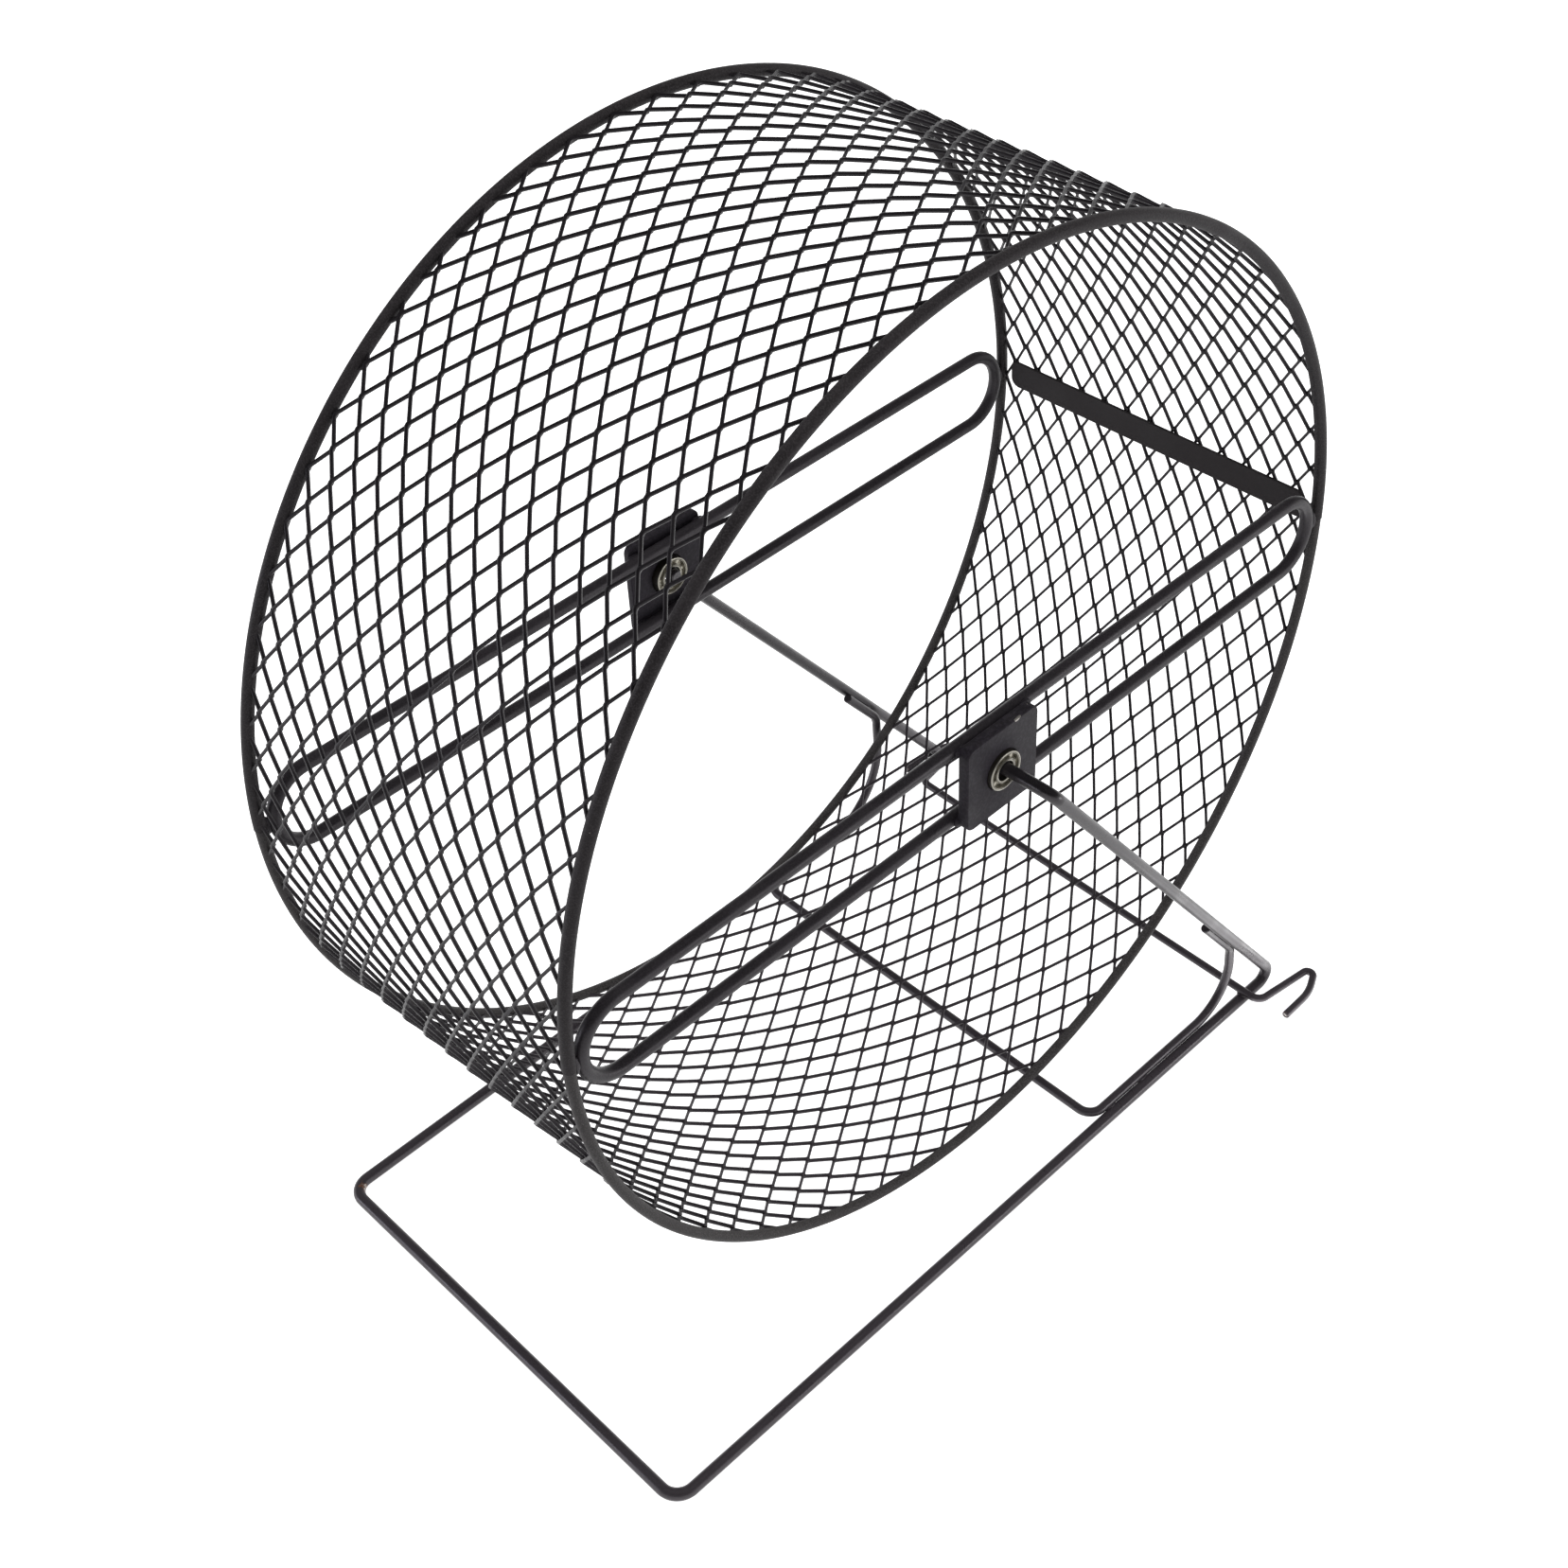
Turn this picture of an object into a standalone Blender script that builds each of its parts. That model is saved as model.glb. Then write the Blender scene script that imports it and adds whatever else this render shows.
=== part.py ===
"""Hamster wheel: a mesh running drum on two open ball bearings, held by one bent wire stand.

Run with blender --background --python part.py. Lengths are metres, +Z is up, the front is -Y and
the axle lies along X. The floor is at Z = 0.
"""

from math import asin, atan2, ceil, cos, hypot, pi, radians, sin, sqrt, tan

import bmesh
import bpy
from mathutils import Matrix, Vector

MM = 0.001

# Clearances
GAP = 0.3 * MM                      # between welded or pressed neighbours, and where the drum hangs
BALL_PLAY = 0.12 * MM               # between a ball and its races and pocket
OVERRUN = 1.0 * MM                  # how far a cutter reaches past the wall that it cuts

# Drum
WHEEL_DIAMETER = 300.0 * MM         # over the upper rims
WHEEL_WIDTH = 127.0 * MM            # over both rims
UPPER_RIM_WIRE = 3.6 * MM
LOWER_RIM_WIRE = 3.2 * MM
MESH_THICKNESS = 1.0 * MM
STRAND_WIDTH = 1.1 * MM
DIAMONDS_AROUND = 36
STRAND_ROWS = 16
SEAM_STRIP_WIDTH = 9.3 * MM
SEAM_STRIP_THICKNESS = 1.0 * MM
SEAM_STRIP_LENGTH = 114.5 * MM
SEAM_STRIP_OFFSET = 1.2 * MM        # from the drum's middle, towards the right
SEAM_STRIP_CORNER = 3.0 * MM
SEAM_ANGLE = radians(178.75)        # from the front, over the top

# Spoke loops and hub plates
SPOKE_WIRE = 4.0 * MM
SPOKE_SPREAD = 24.2 * MM            # between the two runs of a loop, centre to centre
SPOKE_INSET = 0.5 * MM              # from the plane of the rim, towards the drum's middle
HUB_PLATE_LENGTH = 28.0 * MM        # along the spoke loop
RIGHT_PLATE_HEIGHT = 28.4 * MM
LEFT_PLATE_HEIGHT = 31.6 * MM
RIGHT_PLATE_THICKNESS = 3.5 * MM
LEFT_PLATE_THICKNESS = 2.4 * MM
HUB_PLATE_CORNER = 2.8 * MM
LEFT_PLATE_RISE = 0.4 * MM          # the left plate is welded on a little high
RIGHT_PLATE_RISE = 0.0 * MM

# Ball bearings
BEARING_BORE = 6.0 * MM
BEARING_DIAMETER = 12.0 * MM
BEARING_WIDTH = 4.0 * MM
RIGHT_BEARING_PROUD = 1.2 * MM      # past its plate, towards the right
LEFT_BEARING_PROUD = 2.3 * MM       # past its plate, towards the right too
BEARING_CHAMFER = 0.3 * MM
RING_WALL = 0.95 * MM
BALL_DIAMETER = 1.58 * MM
BALL_COUNT = 8
CAGE_THICKNESS = 0.66 * MM
CAGE_WALL = 0.2 * MM
CAGE_WAIST = 0.7 * MM               # width of the cage between two balls

# Stand. It is bent a little out of square, so what lies across it has a reach on each side,
# which is its distance from the axle at the base wire there
STAND_WIRE = 3.75 * MM
RIGHT_CLEARANCE = 15.425 * MM       # hub plate to upright
LEFT_CLEARANCE = 0.525 * MM         # the drum rests on this side
AXLE_HEIGHT = 160.8 * MM            # centre line of the stubs
RIGHT_FRONT_REACH = 151.0 * MM
LEFT_FRONT_REACH = 146.0 * MM
RIGHT_REAR_REACH = 120.3 * MM       # to the point where upright and base wire meet
LEFT_REAR_REACH = 128.5 * MM
STUB_BEND = 3.75 * MM
REAR_BEND = 3.8 * MM
FRONT_BEND = 6.0 * MM
RIGHT_STUB_PAST = 2.4 * MM          # a stub ends this far past its bearing, inside the drum
LEFT_STUB_PAST = 1.9 * MM

# Brace
BRACE_WIRE = 2.8 * MM
BRACE_LEAN = radians(37.5)          # where it lies round the stand wire, up from straight inwards
RIGHT_BRACE_TOP_HEIGHT = 50.0 * MM
LEFT_BRACE_TOP_HEIGHT = 65.5 * MM
RIGHT_BRACE_BEND_HEIGHT = 29.5 * MM
LEFT_BRACE_BEND_HEIGHT = 48.3 * MM
BRACE_DROP_LEAN = 1.5 * MM
RIGHT_BRACE_REACH = 29.6 * MM       # of its cross bar
LEFT_BRACE_REACH = 34.0 * MM
BRACE_TOP_BEND = 8.0 * MM
RIGHT_BRACE_FOOT_BEND = 16.0 * MM
LEFT_BRACE_FOOT_BEND = 30.0 * MM
BRACE_CORNER_BEND = 5.0 * MM

# Cage hooks. Their sizes count from the foot of the arm, outwards and towards the rear
HOOK_WIRE = 2.3 * MM
RIGHT_HOOK_REACH = 104.1 * MM       # of the cross bar that ends in the two hooks
LEFT_HOOK_REACH = 110.2 * MM
HOOK_SPACING = 153.75 * MM          # between the feet of the two arms
HOOK_SHIFT = 6.05 * MM              # the wire is welded on this far to the right
HOOK_APEX_OUT = 3.9 * MM            # the point where arm and return leg would meet
HOOK_APEX_REAR = 26.4 * MM
HOOK_LEG_OUT = 9.4 * MM             # the soft bend in the return leg
HOOK_LEG_REAR = 14.5 * MM
HOOK_TIP_REAR = 1.4 * MM
HOOK_DROOP = 1.0 * MM
HOOK_ARM_BEND = 3.6 * MM
HOOK_APEX_BEND = 1.8 * MM
HOOK_LEG_BEND = 18.0 * MM

# How finely round forms are cut
STAND_SIDES = 10
THIN_SIDES = 8
SPOKE_SIDES = 8
SPOKE_END_STEPS = 10
RIM_BEAD_STEPS = 6
RING_STEPS = 20
CAGE_STEPS_PER_BALL = 4
POCKET_SIDES = 8
CORNER_STEPS = 3
BEND_STEP = radians(18.0)
SHARP_ANGLE = radians(40.0)

# Worked out from the sizes above
RIM_RADIUS = (WHEEL_DIAMETER - UPPER_RIM_WIRE) / 2
RIM_X = (WHEEL_WIDTH - UPPER_RIM_WIRE) / 2
SPOKE_X = RIM_X - SPOKE_INSET
PLATE_INNER_X = SPOKE_X + SPOKE_WIRE / 2 + GAP
RIGHT_PLATE_OUTER_X = PLATE_INNER_X + RIGHT_PLATE_THICKNESS
LEFT_PLATE_OUTER_X = PLATE_INNER_X + LEFT_PLATE_THICKNESS
RIGHT_BEARING_X = RIGHT_PLATE_OUTER_X + RIGHT_BEARING_PROUD - BEARING_WIDTH / 2
LEFT_BEARING_X = LEFT_BEARING_PROUD - PLATE_INNER_X - BEARING_WIDTH / 2
WHEEL_HEIGHT = AXLE_HEIGHT + STAND_WIRE / 2 + GAP - BEARING_BORE / 2
BALL_RADIUS = BALL_DIAMETER / 2
BALL_PITCH_RADIUS = (BEARING_BORE + BEARING_DIAMETER) / 4
RIGHT_REACH = RIGHT_PLATE_OUTER_X + RIGHT_CLEARANCE + STAND_WIRE / 2
LEFT_REACH = LEFT_PLATE_OUTER_X + LEFT_CLEARANCE + STAND_WIRE / 2
STAND_X = (RIGHT_REACH + LEFT_REACH) / 2
WHEEL_OFFSET = (RIGHT_REACH - LEFT_REACH) / 2
RIGHT_STUB_X = RIGHT_BEARING_X - BEARING_WIDTH / 2 - RIGHT_STUB_PAST - WHEEL_OFFSET
LEFT_STUB_X = LEFT_BEARING_X + BEARING_WIDTH / 2 + LEFT_STUB_PAST - WHEEL_OFFSET
REAR_REACH = {1: RIGHT_REAR_REACH, -1: LEFT_REAR_REACH}
BRACE_TOP_HEIGHT = {1: RIGHT_BRACE_TOP_HEIGHT, -1: LEFT_BRACE_TOP_HEIGHT}
BRACE_BEND_HEIGHT = {1: RIGHT_BRACE_BEND_HEIGHT, -1: LEFT_BRACE_BEND_HEIGHT}
BASE_HEIGHT = STAND_WIRE / 2 * cos(pi / STAND_SIDES)
HOOK_HEIGHT = BASE_HEIGHT + STAND_WIRE / 2 + GAP + HOOK_WIRE / 2
SIDES = {"right": 1, "left": -1}

POWDER_BLACK = (0.018, 0.018, 0.02)
STEEL = (0.72, 0.70, 0.64)
CAGE_STEEL = (0.60, 0.54, 0.42)


def clear_scene():
    """Removes what the startup file brings."""
    for obj in list(bpy.data.objects):
        bpy.data.objects.remove(obj)


def material(name, color, roughness, metallic):
    """A Principled material of its own for one sub-part."""
    made = bpy.data.materials.new(name)
    made.use_nodes = True
    shader = made.node_tree.nodes["Principled BSDF"]
    shader.inputs["Base Color"].default_value = (*color, 1)
    shader.inputs["Roughness"].default_value = roughness
    shader.inputs["Metallic"].default_value = metallic
    return made


def coated(name):
    """Black powder coat on steel."""
    return material(name + "_coat", POWDER_BLACK, 0.42, 0.0)


def bright(name, color=STEEL):
    """Bare bearing steel."""
    return material(name + "_steel", color, 0.25, 1.0)


def empty(name, parent, place):
    """An empty that carries the pieces of one moving body."""
    made = bpy.data.objects.new(name, None)
    bpy.context.scene.collection.objects.link(made)
    made.parent = parent
    made.location = place
    return made


def piece(name, form, parent, coat, smooth=True):
    """Turns a bmesh into the object of one sub-part."""
    bmesh.ops.recalc_face_normals(form, faces=form.faces)
    mesh = bpy.data.meshes.new(name)
    form.to_mesh(mesh)
    form.free()
    made = bpy.data.objects.new(name, mesh)
    bpy.context.scene.collection.objects.link(made)
    made.parent = parent
    mesh.materials.append(coat)
    if smooth:
        mesh.shade_smooth()
        mesh.set_sharp_from_angle(angle=SHARP_ANGLE)
    return made


def rounded_path(corners, radii):
    """Points along a bent wire: straight between its corners, with an arc at each inner one."""
    points = [corners[0]]
    for before, corner, after, radius in zip(corners, corners[1:], corners[2:], radii):
        way_in = (corner - before).normalized()
        way_out = (after - corner).normalized()
        turn = way_in.angle(way_out)
        axis = way_in.cross(way_out).normalized()
        centre = corner + (way_out - way_in).normalized() * (radius / cos(turn / 2))
        arm = corner - way_in * (radius * tan(turn / 2)) - centre
        steps = ceil(turn / BEND_STEP)
        for step in range(steps + 1):
            points.append(centre + Matrix.Rotation(turn * step / steps, 3, axis) @ arm)
    points.append(corners[-1])
    return points


def directions(points, closed):
    """The way a path runs at each of its points, halved at the bends."""
    count = len(points)
    ways = []
    for at in range(count):
        before = points[at - 1] if at or closed else points[at]
        after = points[(at + 1) % count] if at < count - 1 or closed else points[at]
        way_in = (points[at] - before).normalized()
        way_out = (after - points[at]).normalized()
        ways.append((way_in + way_out).normalized())
    return ways


def transported(ways, anchor, up):
    """A sideways vector at each point, carried along from the anchor without twisting."""
    sides = [None] * len(ways)
    sides[anchor] = (up - ways[anchor] * up.dot(ways[anchor])).normalized()
    for at in range(anchor + 1, len(ways)):
        sides[at] = ways[at - 1].rotation_difference(ways[at]) @ sides[at - 1]
    for at in range(anchor - 1, -1, -1):
        sides[at] = ways[at + 1].rotation_difference(ways[at]) @ sides[at + 1]
    return sides


def tube(points, radius, count, anchor=0, up=Vector((0, 0, 1)), closed=False):
    """A wire along a path. Its section has a flat below and above at the anchor."""
    form = bmesh.new()
    ways = directions(points, closed)
    rings = []
    for point, way, high in zip(points, ways, transported(ways, anchor, up)):
        across = way.cross(high)
        turns = [2 * pi * (side + 0.5) / count for side in range(count)]
        rings.append([form.verts.new(point + (high * cos(t) + across * sin(t)) * radius) for t in turns])
    last = len(rings) if closed else len(rings) - 1
    for at in range(last):
        near = rings[at]
        far = rings[(at + 1) % len(rings)]
        for side in range(count):
            beside = (side + 1) % count
            form.faces.new((near[side], near[beside], far[beside], far[side]))
    if not closed:
        form.faces.new(rings[0])
        form.faces.new(rings[-1])
    return form


def revolved(profile, steps):
    """A closed profile of (x, radius) points, spun once round the X axis."""
    form = bmesh.new()
    points = [form.verts.new((x, 0, radius)) for x, radius in profile]
    edges = [form.edges.new((points[at - 1], points[at])) for at in range(len(points))]
    bmesh.ops.spin(
        form,
        geom=points + edges,
        cent=(0, 0, 0),
        axis=(1, 0, 0),
        angle=2 * pi,
        steps=steps,
        use_merge=True,
        use_duplicate=False,
    )
    return form


def arc(centre, radius, start, end, steps):
    """Points of an arc in a plane, as pairs."""
    turns = [start + (end - start) * step / steps for step in range(steps + 1)]
    return [(centre[0] + radius * cos(t), centre[1] + radius * sin(t)) for t in turns]


def rounded_rectangle(length, width, corner):
    """The outline of a flat piece with rounded corners, about its own middle."""
    outline = []
    for quarter, (right, top) in enumerate(((1, 1), (-1, 1), (-1, -1), (1, -1))):
        middle = (right * (length / 2 - corner), top * (width / 2 - corner))
        outline += arc(middle, corner, quarter * pi / 2, (quarter + 1) * pi / 2, CORNER_STEPS)
    return outline


def slab(outline, thickness):
    """A flat piece: the outline in XY, raised by its thickness."""
    form = bmesh.new()
    face = form.faces.new([form.verts.new((x, y, 0)) for x, y in outline])
    raised = bmesh.ops.extrude_face_region(form, geom=[face])["geom"]
    tops = [item for item in raised if isinstance(item, bmesh.types.BMVert)]
    bmesh.ops.translate(form, verts=tops, vec=(0, 0, thickness))
    return form


def cut(target, cutter):
    """Takes the cutter out of the target with a Boolean modifier."""
    cutter.hide_render = True
    cutter.display_type = "WIRE"
    modifier = target.modifiers.new("cut", "BOOLEAN")
    modifier.operation = "DIFFERENCE"
    modifier.solver = "EXACT"
    modifier.object = cutter


def on_drum(x, radius, angle):
    """A point of the drum. The angle starts at the front and runs over the top."""
    return Vector((x, -radius * cos(angle), radius * sin(angle)))


def reach_at(x, right, left):
    """How far a wire that lies across the stand is from the axle at x."""
    return left + (right - left) * (x + STAND_X) / (2 * STAND_X)


def stand_points():
    """The centre line of the one bent wire: stub, upright, base, front, base, upright, stub."""
    corners = [
        Vector((LEFT_STUB_X, 0, AXLE_HEIGHT)),
        Vector((-STAND_X, 0, AXLE_HEIGHT)),
        Vector((-STAND_X, LEFT_REAR_REACH, BASE_HEIGHT)),
        Vector((-STAND_X, -LEFT_FRONT_REACH, BASE_HEIGHT)),
        Vector((STAND_X, -RIGHT_FRONT_REACH, BASE_HEIGHT)),
        Vector((STAND_X, RIGHT_REAR_REACH, BASE_HEIGHT)),
        Vector((STAND_X, 0, AXLE_HEIGHT)),
        Vector((RIGHT_STUB_X, 0, AXLE_HEIGHT)),
    ]
    return rounded_path(corners, (STUB_BEND, REAR_BEND, FRONT_BEND, FRONT_BEND, REAR_BEND, STUB_BEND))


def middle(points):
    """Where the stand's middle lies under the axle, so that X = Y = 0 is the middle of the whole.

    The hooks reach furthest sideways, the front wire and the drum's rear furthest along Y.
    """
    front = max(STAND_WIRE / 2 - min(point.y for point in points), WHEEL_DIAMETER / 2)
    return Vector((-HOOK_SHIFT, (front - WHEEL_DIAMETER / 2) / 2, 0))


def stand_wire(root, points):
    """The wire that carries the drum and stands on the floor."""
    front = min(range(len(points)), key=lambda at: points[at].y)
    form = tube(points, STAND_WIRE / 2, STAND_SIDES, anchor=front)
    piece("stand_wire", form, root, coated("stand_wire"))


def upright_point(side, height):
    """A point on an upright's centre line, and the way square to it, down and forwards."""
    reach = REAR_REACH[side]
    rise = AXLE_HEIGHT - BASE_HEIGHT
    length = hypot(reach, rise)
    share = (AXLE_HEIGHT - height) / rise
    square = Vector((0, -rise / length, -reach / length))
    return Vector((side * STAND_X, reach * share, height)), square


def brace_half(side):
    """One half of the brace, from its blunt end on the upright to its cross bar."""
    reach = (STAND_WIRE + BRACE_WIRE) / 2 + GAP
    inwards = Vector((-side * reach * cos(BRACE_LEAN), 0, 0))
    beside = reach * sin(BRACE_LEAN)
    top, square = upright_point(side, BRACE_TOP_HEIGHT[side])
    bend, square = upright_point(side, BRACE_BEND_HEIGHT[side])
    top += inwards + square * beside
    bend += inwards + square * beside
    run = BASE_HEIGHT + beside
    cross = reach_at(bend.x, RIGHT_BRACE_REACH, LEFT_BRACE_REACH)
    foot = Vector((bend.x, bend.y + BRACE_DROP_LEAN, run))
    return [top, bend, foot, Vector((bend.x, cross, run))]


def brace_wire(root):
    """The thin wire that ties uprights and base wires and crosses under the drum."""
    right = (BRACE_TOP_BEND, RIGHT_BRACE_FOOT_BEND, BRACE_CORNER_BEND)
    left = (BRACE_CORNER_BEND, LEFT_BRACE_FOOT_BEND, BRACE_TOP_BEND)
    points = rounded_path(brace_half(1) + brace_half(-1)[::-1], right + left)
    form = tube(points, BRACE_WIRE / 2, THIN_SIDES, up=Vector((1, 0, 0)))
    piece("brace_wire", form, root, coated("brace_wire"))


def hook_half(side):
    """One half of the hook wire, from the tip of its hook to the foot of the arm."""
    foot = HOOK_SHIFT + side * HOOK_SPACING / 2
    cross = reach_at(foot, RIGHT_HOOK_REACH, LEFT_HOOK_REACH)
    places = (
        (HOOK_LEG_OUT, HOOK_TIP_REAR, HOOK_DROOP),
        (HOOK_LEG_OUT, HOOK_LEG_REAR, HOOK_DROOP / 2),
        (HOOK_APEX_OUT, HOOK_APEX_REAR, 0),
        (0, 0, 0),
    )
    return [Vector((foot + side * out, cross + rear, HOOK_HEIGHT - drop)) for out, rear, drop in places]


def hook_wire(root):
    """The thin wire across the rear that ends in two hooks for a cage's bars."""
    radii = (HOOK_LEG_BEND, HOOK_APEX_BEND, HOOK_ARM_BEND)
    points = rounded_path(hook_half(1) + hook_half(-1)[::-1], radii + radii[::-1])
    form = tube(points, HOOK_WIRE / 2, THIN_SIDES)
    piece("hook_wire", form, root, coated("hook_wire"))


def rim_half(name, wheel, side, wire, start):
    """Half of an edge channel: a round bead whose slot takes the edge of the mesh."""
    bead = wire / 2
    slot = MESH_THICKNESS / 2 + GAP
    opening = asin(slot / bead)
    section = arc((0, 0), bead, opening - pi, pi - opening, RIM_BEAD_STEPS)
    section += [(0, slot), (0, -slot)]
    edge = asin(GAP / 2 / RIM_RADIUS)
    pitch = 2 * pi / DIAMONDS_AROUND
    nodes = [start + pitch * (step + 0.5) for step in range(DIAMONDS_AROUND // 2)]
    form = bmesh.new()
    rings = []
    for angle in [start + edge, *nodes, start + pi - edge]:
        places = [on_drum(side * (RIM_X + x), RIM_RADIUS + out, angle) for x, out in section]
        rings.append([form.verts.new(place) for place in places])
    for near, far in zip(rings, rings[1:]):
        for at in range(len(section)):
            form.faces.new((near[at - 1], near[at], far[at], far[at - 1]))
    form.faces.new(rings[0])
    form.faces.new(rings[-1])
    piece(name, form, wheel, coated(name))


def rims(wheel):
    """Both edges of the drum, each in an upper and a lower half."""
    for side_name, side in SIDES.items():
        rim_half("rim_upper_" + side_name, wheel, side, UPPER_RIM_WIRE, 0)
        rim_half("rim_lower_" + side_name, wheel, side, LOWER_RIM_WIRE, pi)


def mesh_band(wheel):
    """The expanded metal that the animal runs on, as one closed lattice of crossing strands.

    Each crossing is four points: two on the outer face along one strand, two on the inner face
    along the other. A strand is the three-sided bar between the facing sides of two crossings.
    """
    pitch = 2 * pi / DIAMONDS_AROUND
    half_along = RIM_RADIUS * pitch / 2
    across = 2 * RIM_X / STRAND_ROWS
    slope = atan2(across, half_along)
    reach = STRAND_WIDTH / 2 / sin(2 * slope)
    along = reach * cos(slope)
    aside = reach * sin(slope)
    edge_x = RIM_X - GAP - aside
    form = bmesh.new()

    def crossing(row, column):
        x = edge_x * (2 * row / STRAND_ROWS - 1)
        angle = pitch * (column + 0.5 + (row % 2) / 2)
        corners = {}
        for key, way in (("ahead", 1), ("behind", -1)):
            turn = angle + way * along / RIM_RADIUS
            outer = on_drum(x + way * aside, RIM_RADIUS + MESH_THICKNESS / 2, turn)
            inner = on_drum(x - way * aside, RIM_RADIUS - MESH_THICKNESS / 2, turn)
            corners["outer_" + key] = form.verts.new(outer)
            corners["inner_" + key] = form.verts.new(inner)
        return corners

    def bar(near, far):
        for at in range(3):
            form.faces.new((near[at - 1], near[at], far[at], far[at - 1]))

    rows = [[crossing(row, column) for column in range(DIAMONDS_AROUND)] for row in range(STRAND_ROWS + 1)]
    for row in range(STRAND_ROWS):
        shift = row % 2
        for column in range(DIAMONDS_AROUND):
            here = rows[row][column]
            ahead = rows[row + 1][(column + shift) % DIAMONDS_AROUND]
            behind = rows[row + 1][(column + shift - 1) % DIAMONDS_AROUND]
            inner = [here["inner_ahead"], here["inner_behind"], here["outer_ahead"]]
            bar(inner, [ahead["inner_ahead"], ahead["inner_behind"], ahead["outer_behind"]])
            outer = [here["outer_ahead"], here["outer_behind"], here["inner_behind"]]
            bar(outer, [behind["outer_ahead"], behind["outer_behind"], behind["inner_ahead"]])
    for first in rows[0]:
        form.faces.new((first["inner_ahead"], first["inner_behind"], first["outer_behind"]))
        form.faces.new((first["outer_ahead"], first["outer_behind"], first["inner_ahead"]))
    for last in rows[-1]:
        form.faces.new((last["inner_ahead"], last["inner_behind"], last["outer_ahead"]))
        form.faces.new((last["outer_ahead"], last["outer_behind"], last["inner_behind"]))
    piece("mesh_band", form, wheel, coated("mesh_band"), smooth=False)


def seam_strip(wheel):
    """The flat strip inside the drum that covers the joint of the mesh."""
    mesh_inner = (RIM_RADIUS - MESH_THICKNESS / 2) * cos(pi / DIAMONDS_AROUND / 2)
    face_radius = sqrt((mesh_inner - GAP) ** 2 - (SEAM_STRIP_WIDTH / 2) ** 2)
    outline = rounded_rectangle(SEAM_STRIP_LENGTH, SEAM_STRIP_WIDTH, SEAM_STRIP_CORNER)
    form = slab(outline, SEAM_STRIP_THICKNESS)
    strip = piece("seam_strip", form, wheel, coated("seam_strip"), smooth=False)
    strip.rotation_euler = (pi / 2 - SEAM_ANGLE, 0, 0)
    strip.location = on_drum(SEAM_STRIP_OFFSET, face_radius - SEAM_STRIP_THICKNESS, SEAM_ANGLE)


def spoke_loops(wheel):
    """One closed wire loop across each side, from the front of the rim to the rear."""
    bend = SPOKE_SPREAD / 2
    tip = RIM_RADIUS - UPPER_RIM_WIRE / 2 - GAP - SPOKE_WIRE / 2
    front = arc((bend - tip, 0), bend, pi / 2, 3 * pi / 2, SPOKE_END_STEPS)
    rear = arc((tip - bend, 0), bend, -pi / 2, pi / 2, SPOKE_END_STEPS)
    for side_name, side in SIDES.items():
        name = "spoke_loop_" + side_name
        points = [Vector((side * SPOKE_X, y, z)) for y, z in front + rear]
        form = tube(points, SPOKE_WIRE / 2, SPOKE_SIDES, up=Vector((1, 0, 0)), closed=True)
        piece(name, form, wheel, coated(name))


def hub_plates(wheel):
    """The square plates welded outside the loops, each bored for its bearing."""
    seat = BEARING_DIAMETER / 2 + GAP
    sizes = {
        "right": (RIGHT_PLATE_HEIGHT, RIGHT_PLATE_THICKNESS, RIGHT_PLATE_RISE, RIGHT_PLATE_OUTER_X),
        "left": (LEFT_PLATE_HEIGHT, LEFT_PLATE_THICKNESS, LEFT_PLATE_RISE, LEFT_PLATE_OUTER_X),
    }
    for side_name, side in SIDES.items():
        name = "hub_plate_" + side_name
        height, thickness, rise, outer_x = sizes[side_name]
        form = slab(rounded_rectangle(HUB_PLATE_LENGTH, height, HUB_PLATE_CORNER), thickness)
        bmesh.ops.translate(form, verts=form.verts, vec=(0, rise, 0))
        upright = Matrix(((0, 0, side), (1, 0, 0), (0, 1, 0)))
        bmesh.ops.transform(form, matrix=upright.to_4x4(), verts=form.verts)
        bmesh.ops.translate(form, verts=form.verts, vec=(side * PLATE_INNER_X, 0, 0))
        plate = piece(name, form, wheel, coated(name), smooth=False)
        near = side * (PLATE_INNER_X - OVERRUN)
        far = side * (outer_x + OVERRUN)
        bore = bmesh.new()
        rings = []
        for x in (near, far):
            turns = [2 * pi * step / RING_STEPS for step in range(RING_STEPS)]
            rings.append([bore.verts.new((x, seat * cos(t), seat * sin(t))) for t in turns])
        for at in range(RING_STEPS):
            bore.faces.new((rings[0][at - 1], rings[0][at], rings[1][at], rings[1][at - 1]))
        for ring in rings:
            bore.faces.new(ring)
        cut(plate, piece(name + "_bore", bore, wheel, coated(name + "_bore"), smooth=False))


def bearing_rings(side_name, middle, wheel, inner_body):
    """The outer ring in the drum and the inner ring on the stub, each with its race."""
    half = BEARING_WIDTH / 2
    ball_half = BALL_RADIUS + BALL_PLAY
    for kind, rim, way, body in (
        ("outer", BEARING_DIAMETER / 2, -1, wheel),
        ("inner", BEARING_BORE / 2, 1, inner_body),
    ):
        name = f"bearing_{kind}_ring_{side_name}"
        shoulder = rim + way * RING_WALL
        race = BALL_PITCH_RADIUS - way * ball_half
        profile = [
            (-half, rim + way * BEARING_CHAMFER),
            (BEARING_CHAMFER - half, rim),
            (half - BEARING_CHAMFER, rim),
            (half, rim + way * BEARING_CHAMFER),
            (half, shoulder),
            (ball_half, shoulder),
            (BALL_RADIUS / 2, race),
            (-BALL_RADIUS / 2, race),
            (-ball_half, shoulder),
            (-half, shoulder),
        ]
        form = revolved([(middle + x, radius) for x, radius in profile], RING_STEPS)
        piece(name, form, body, bright(name))


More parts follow.
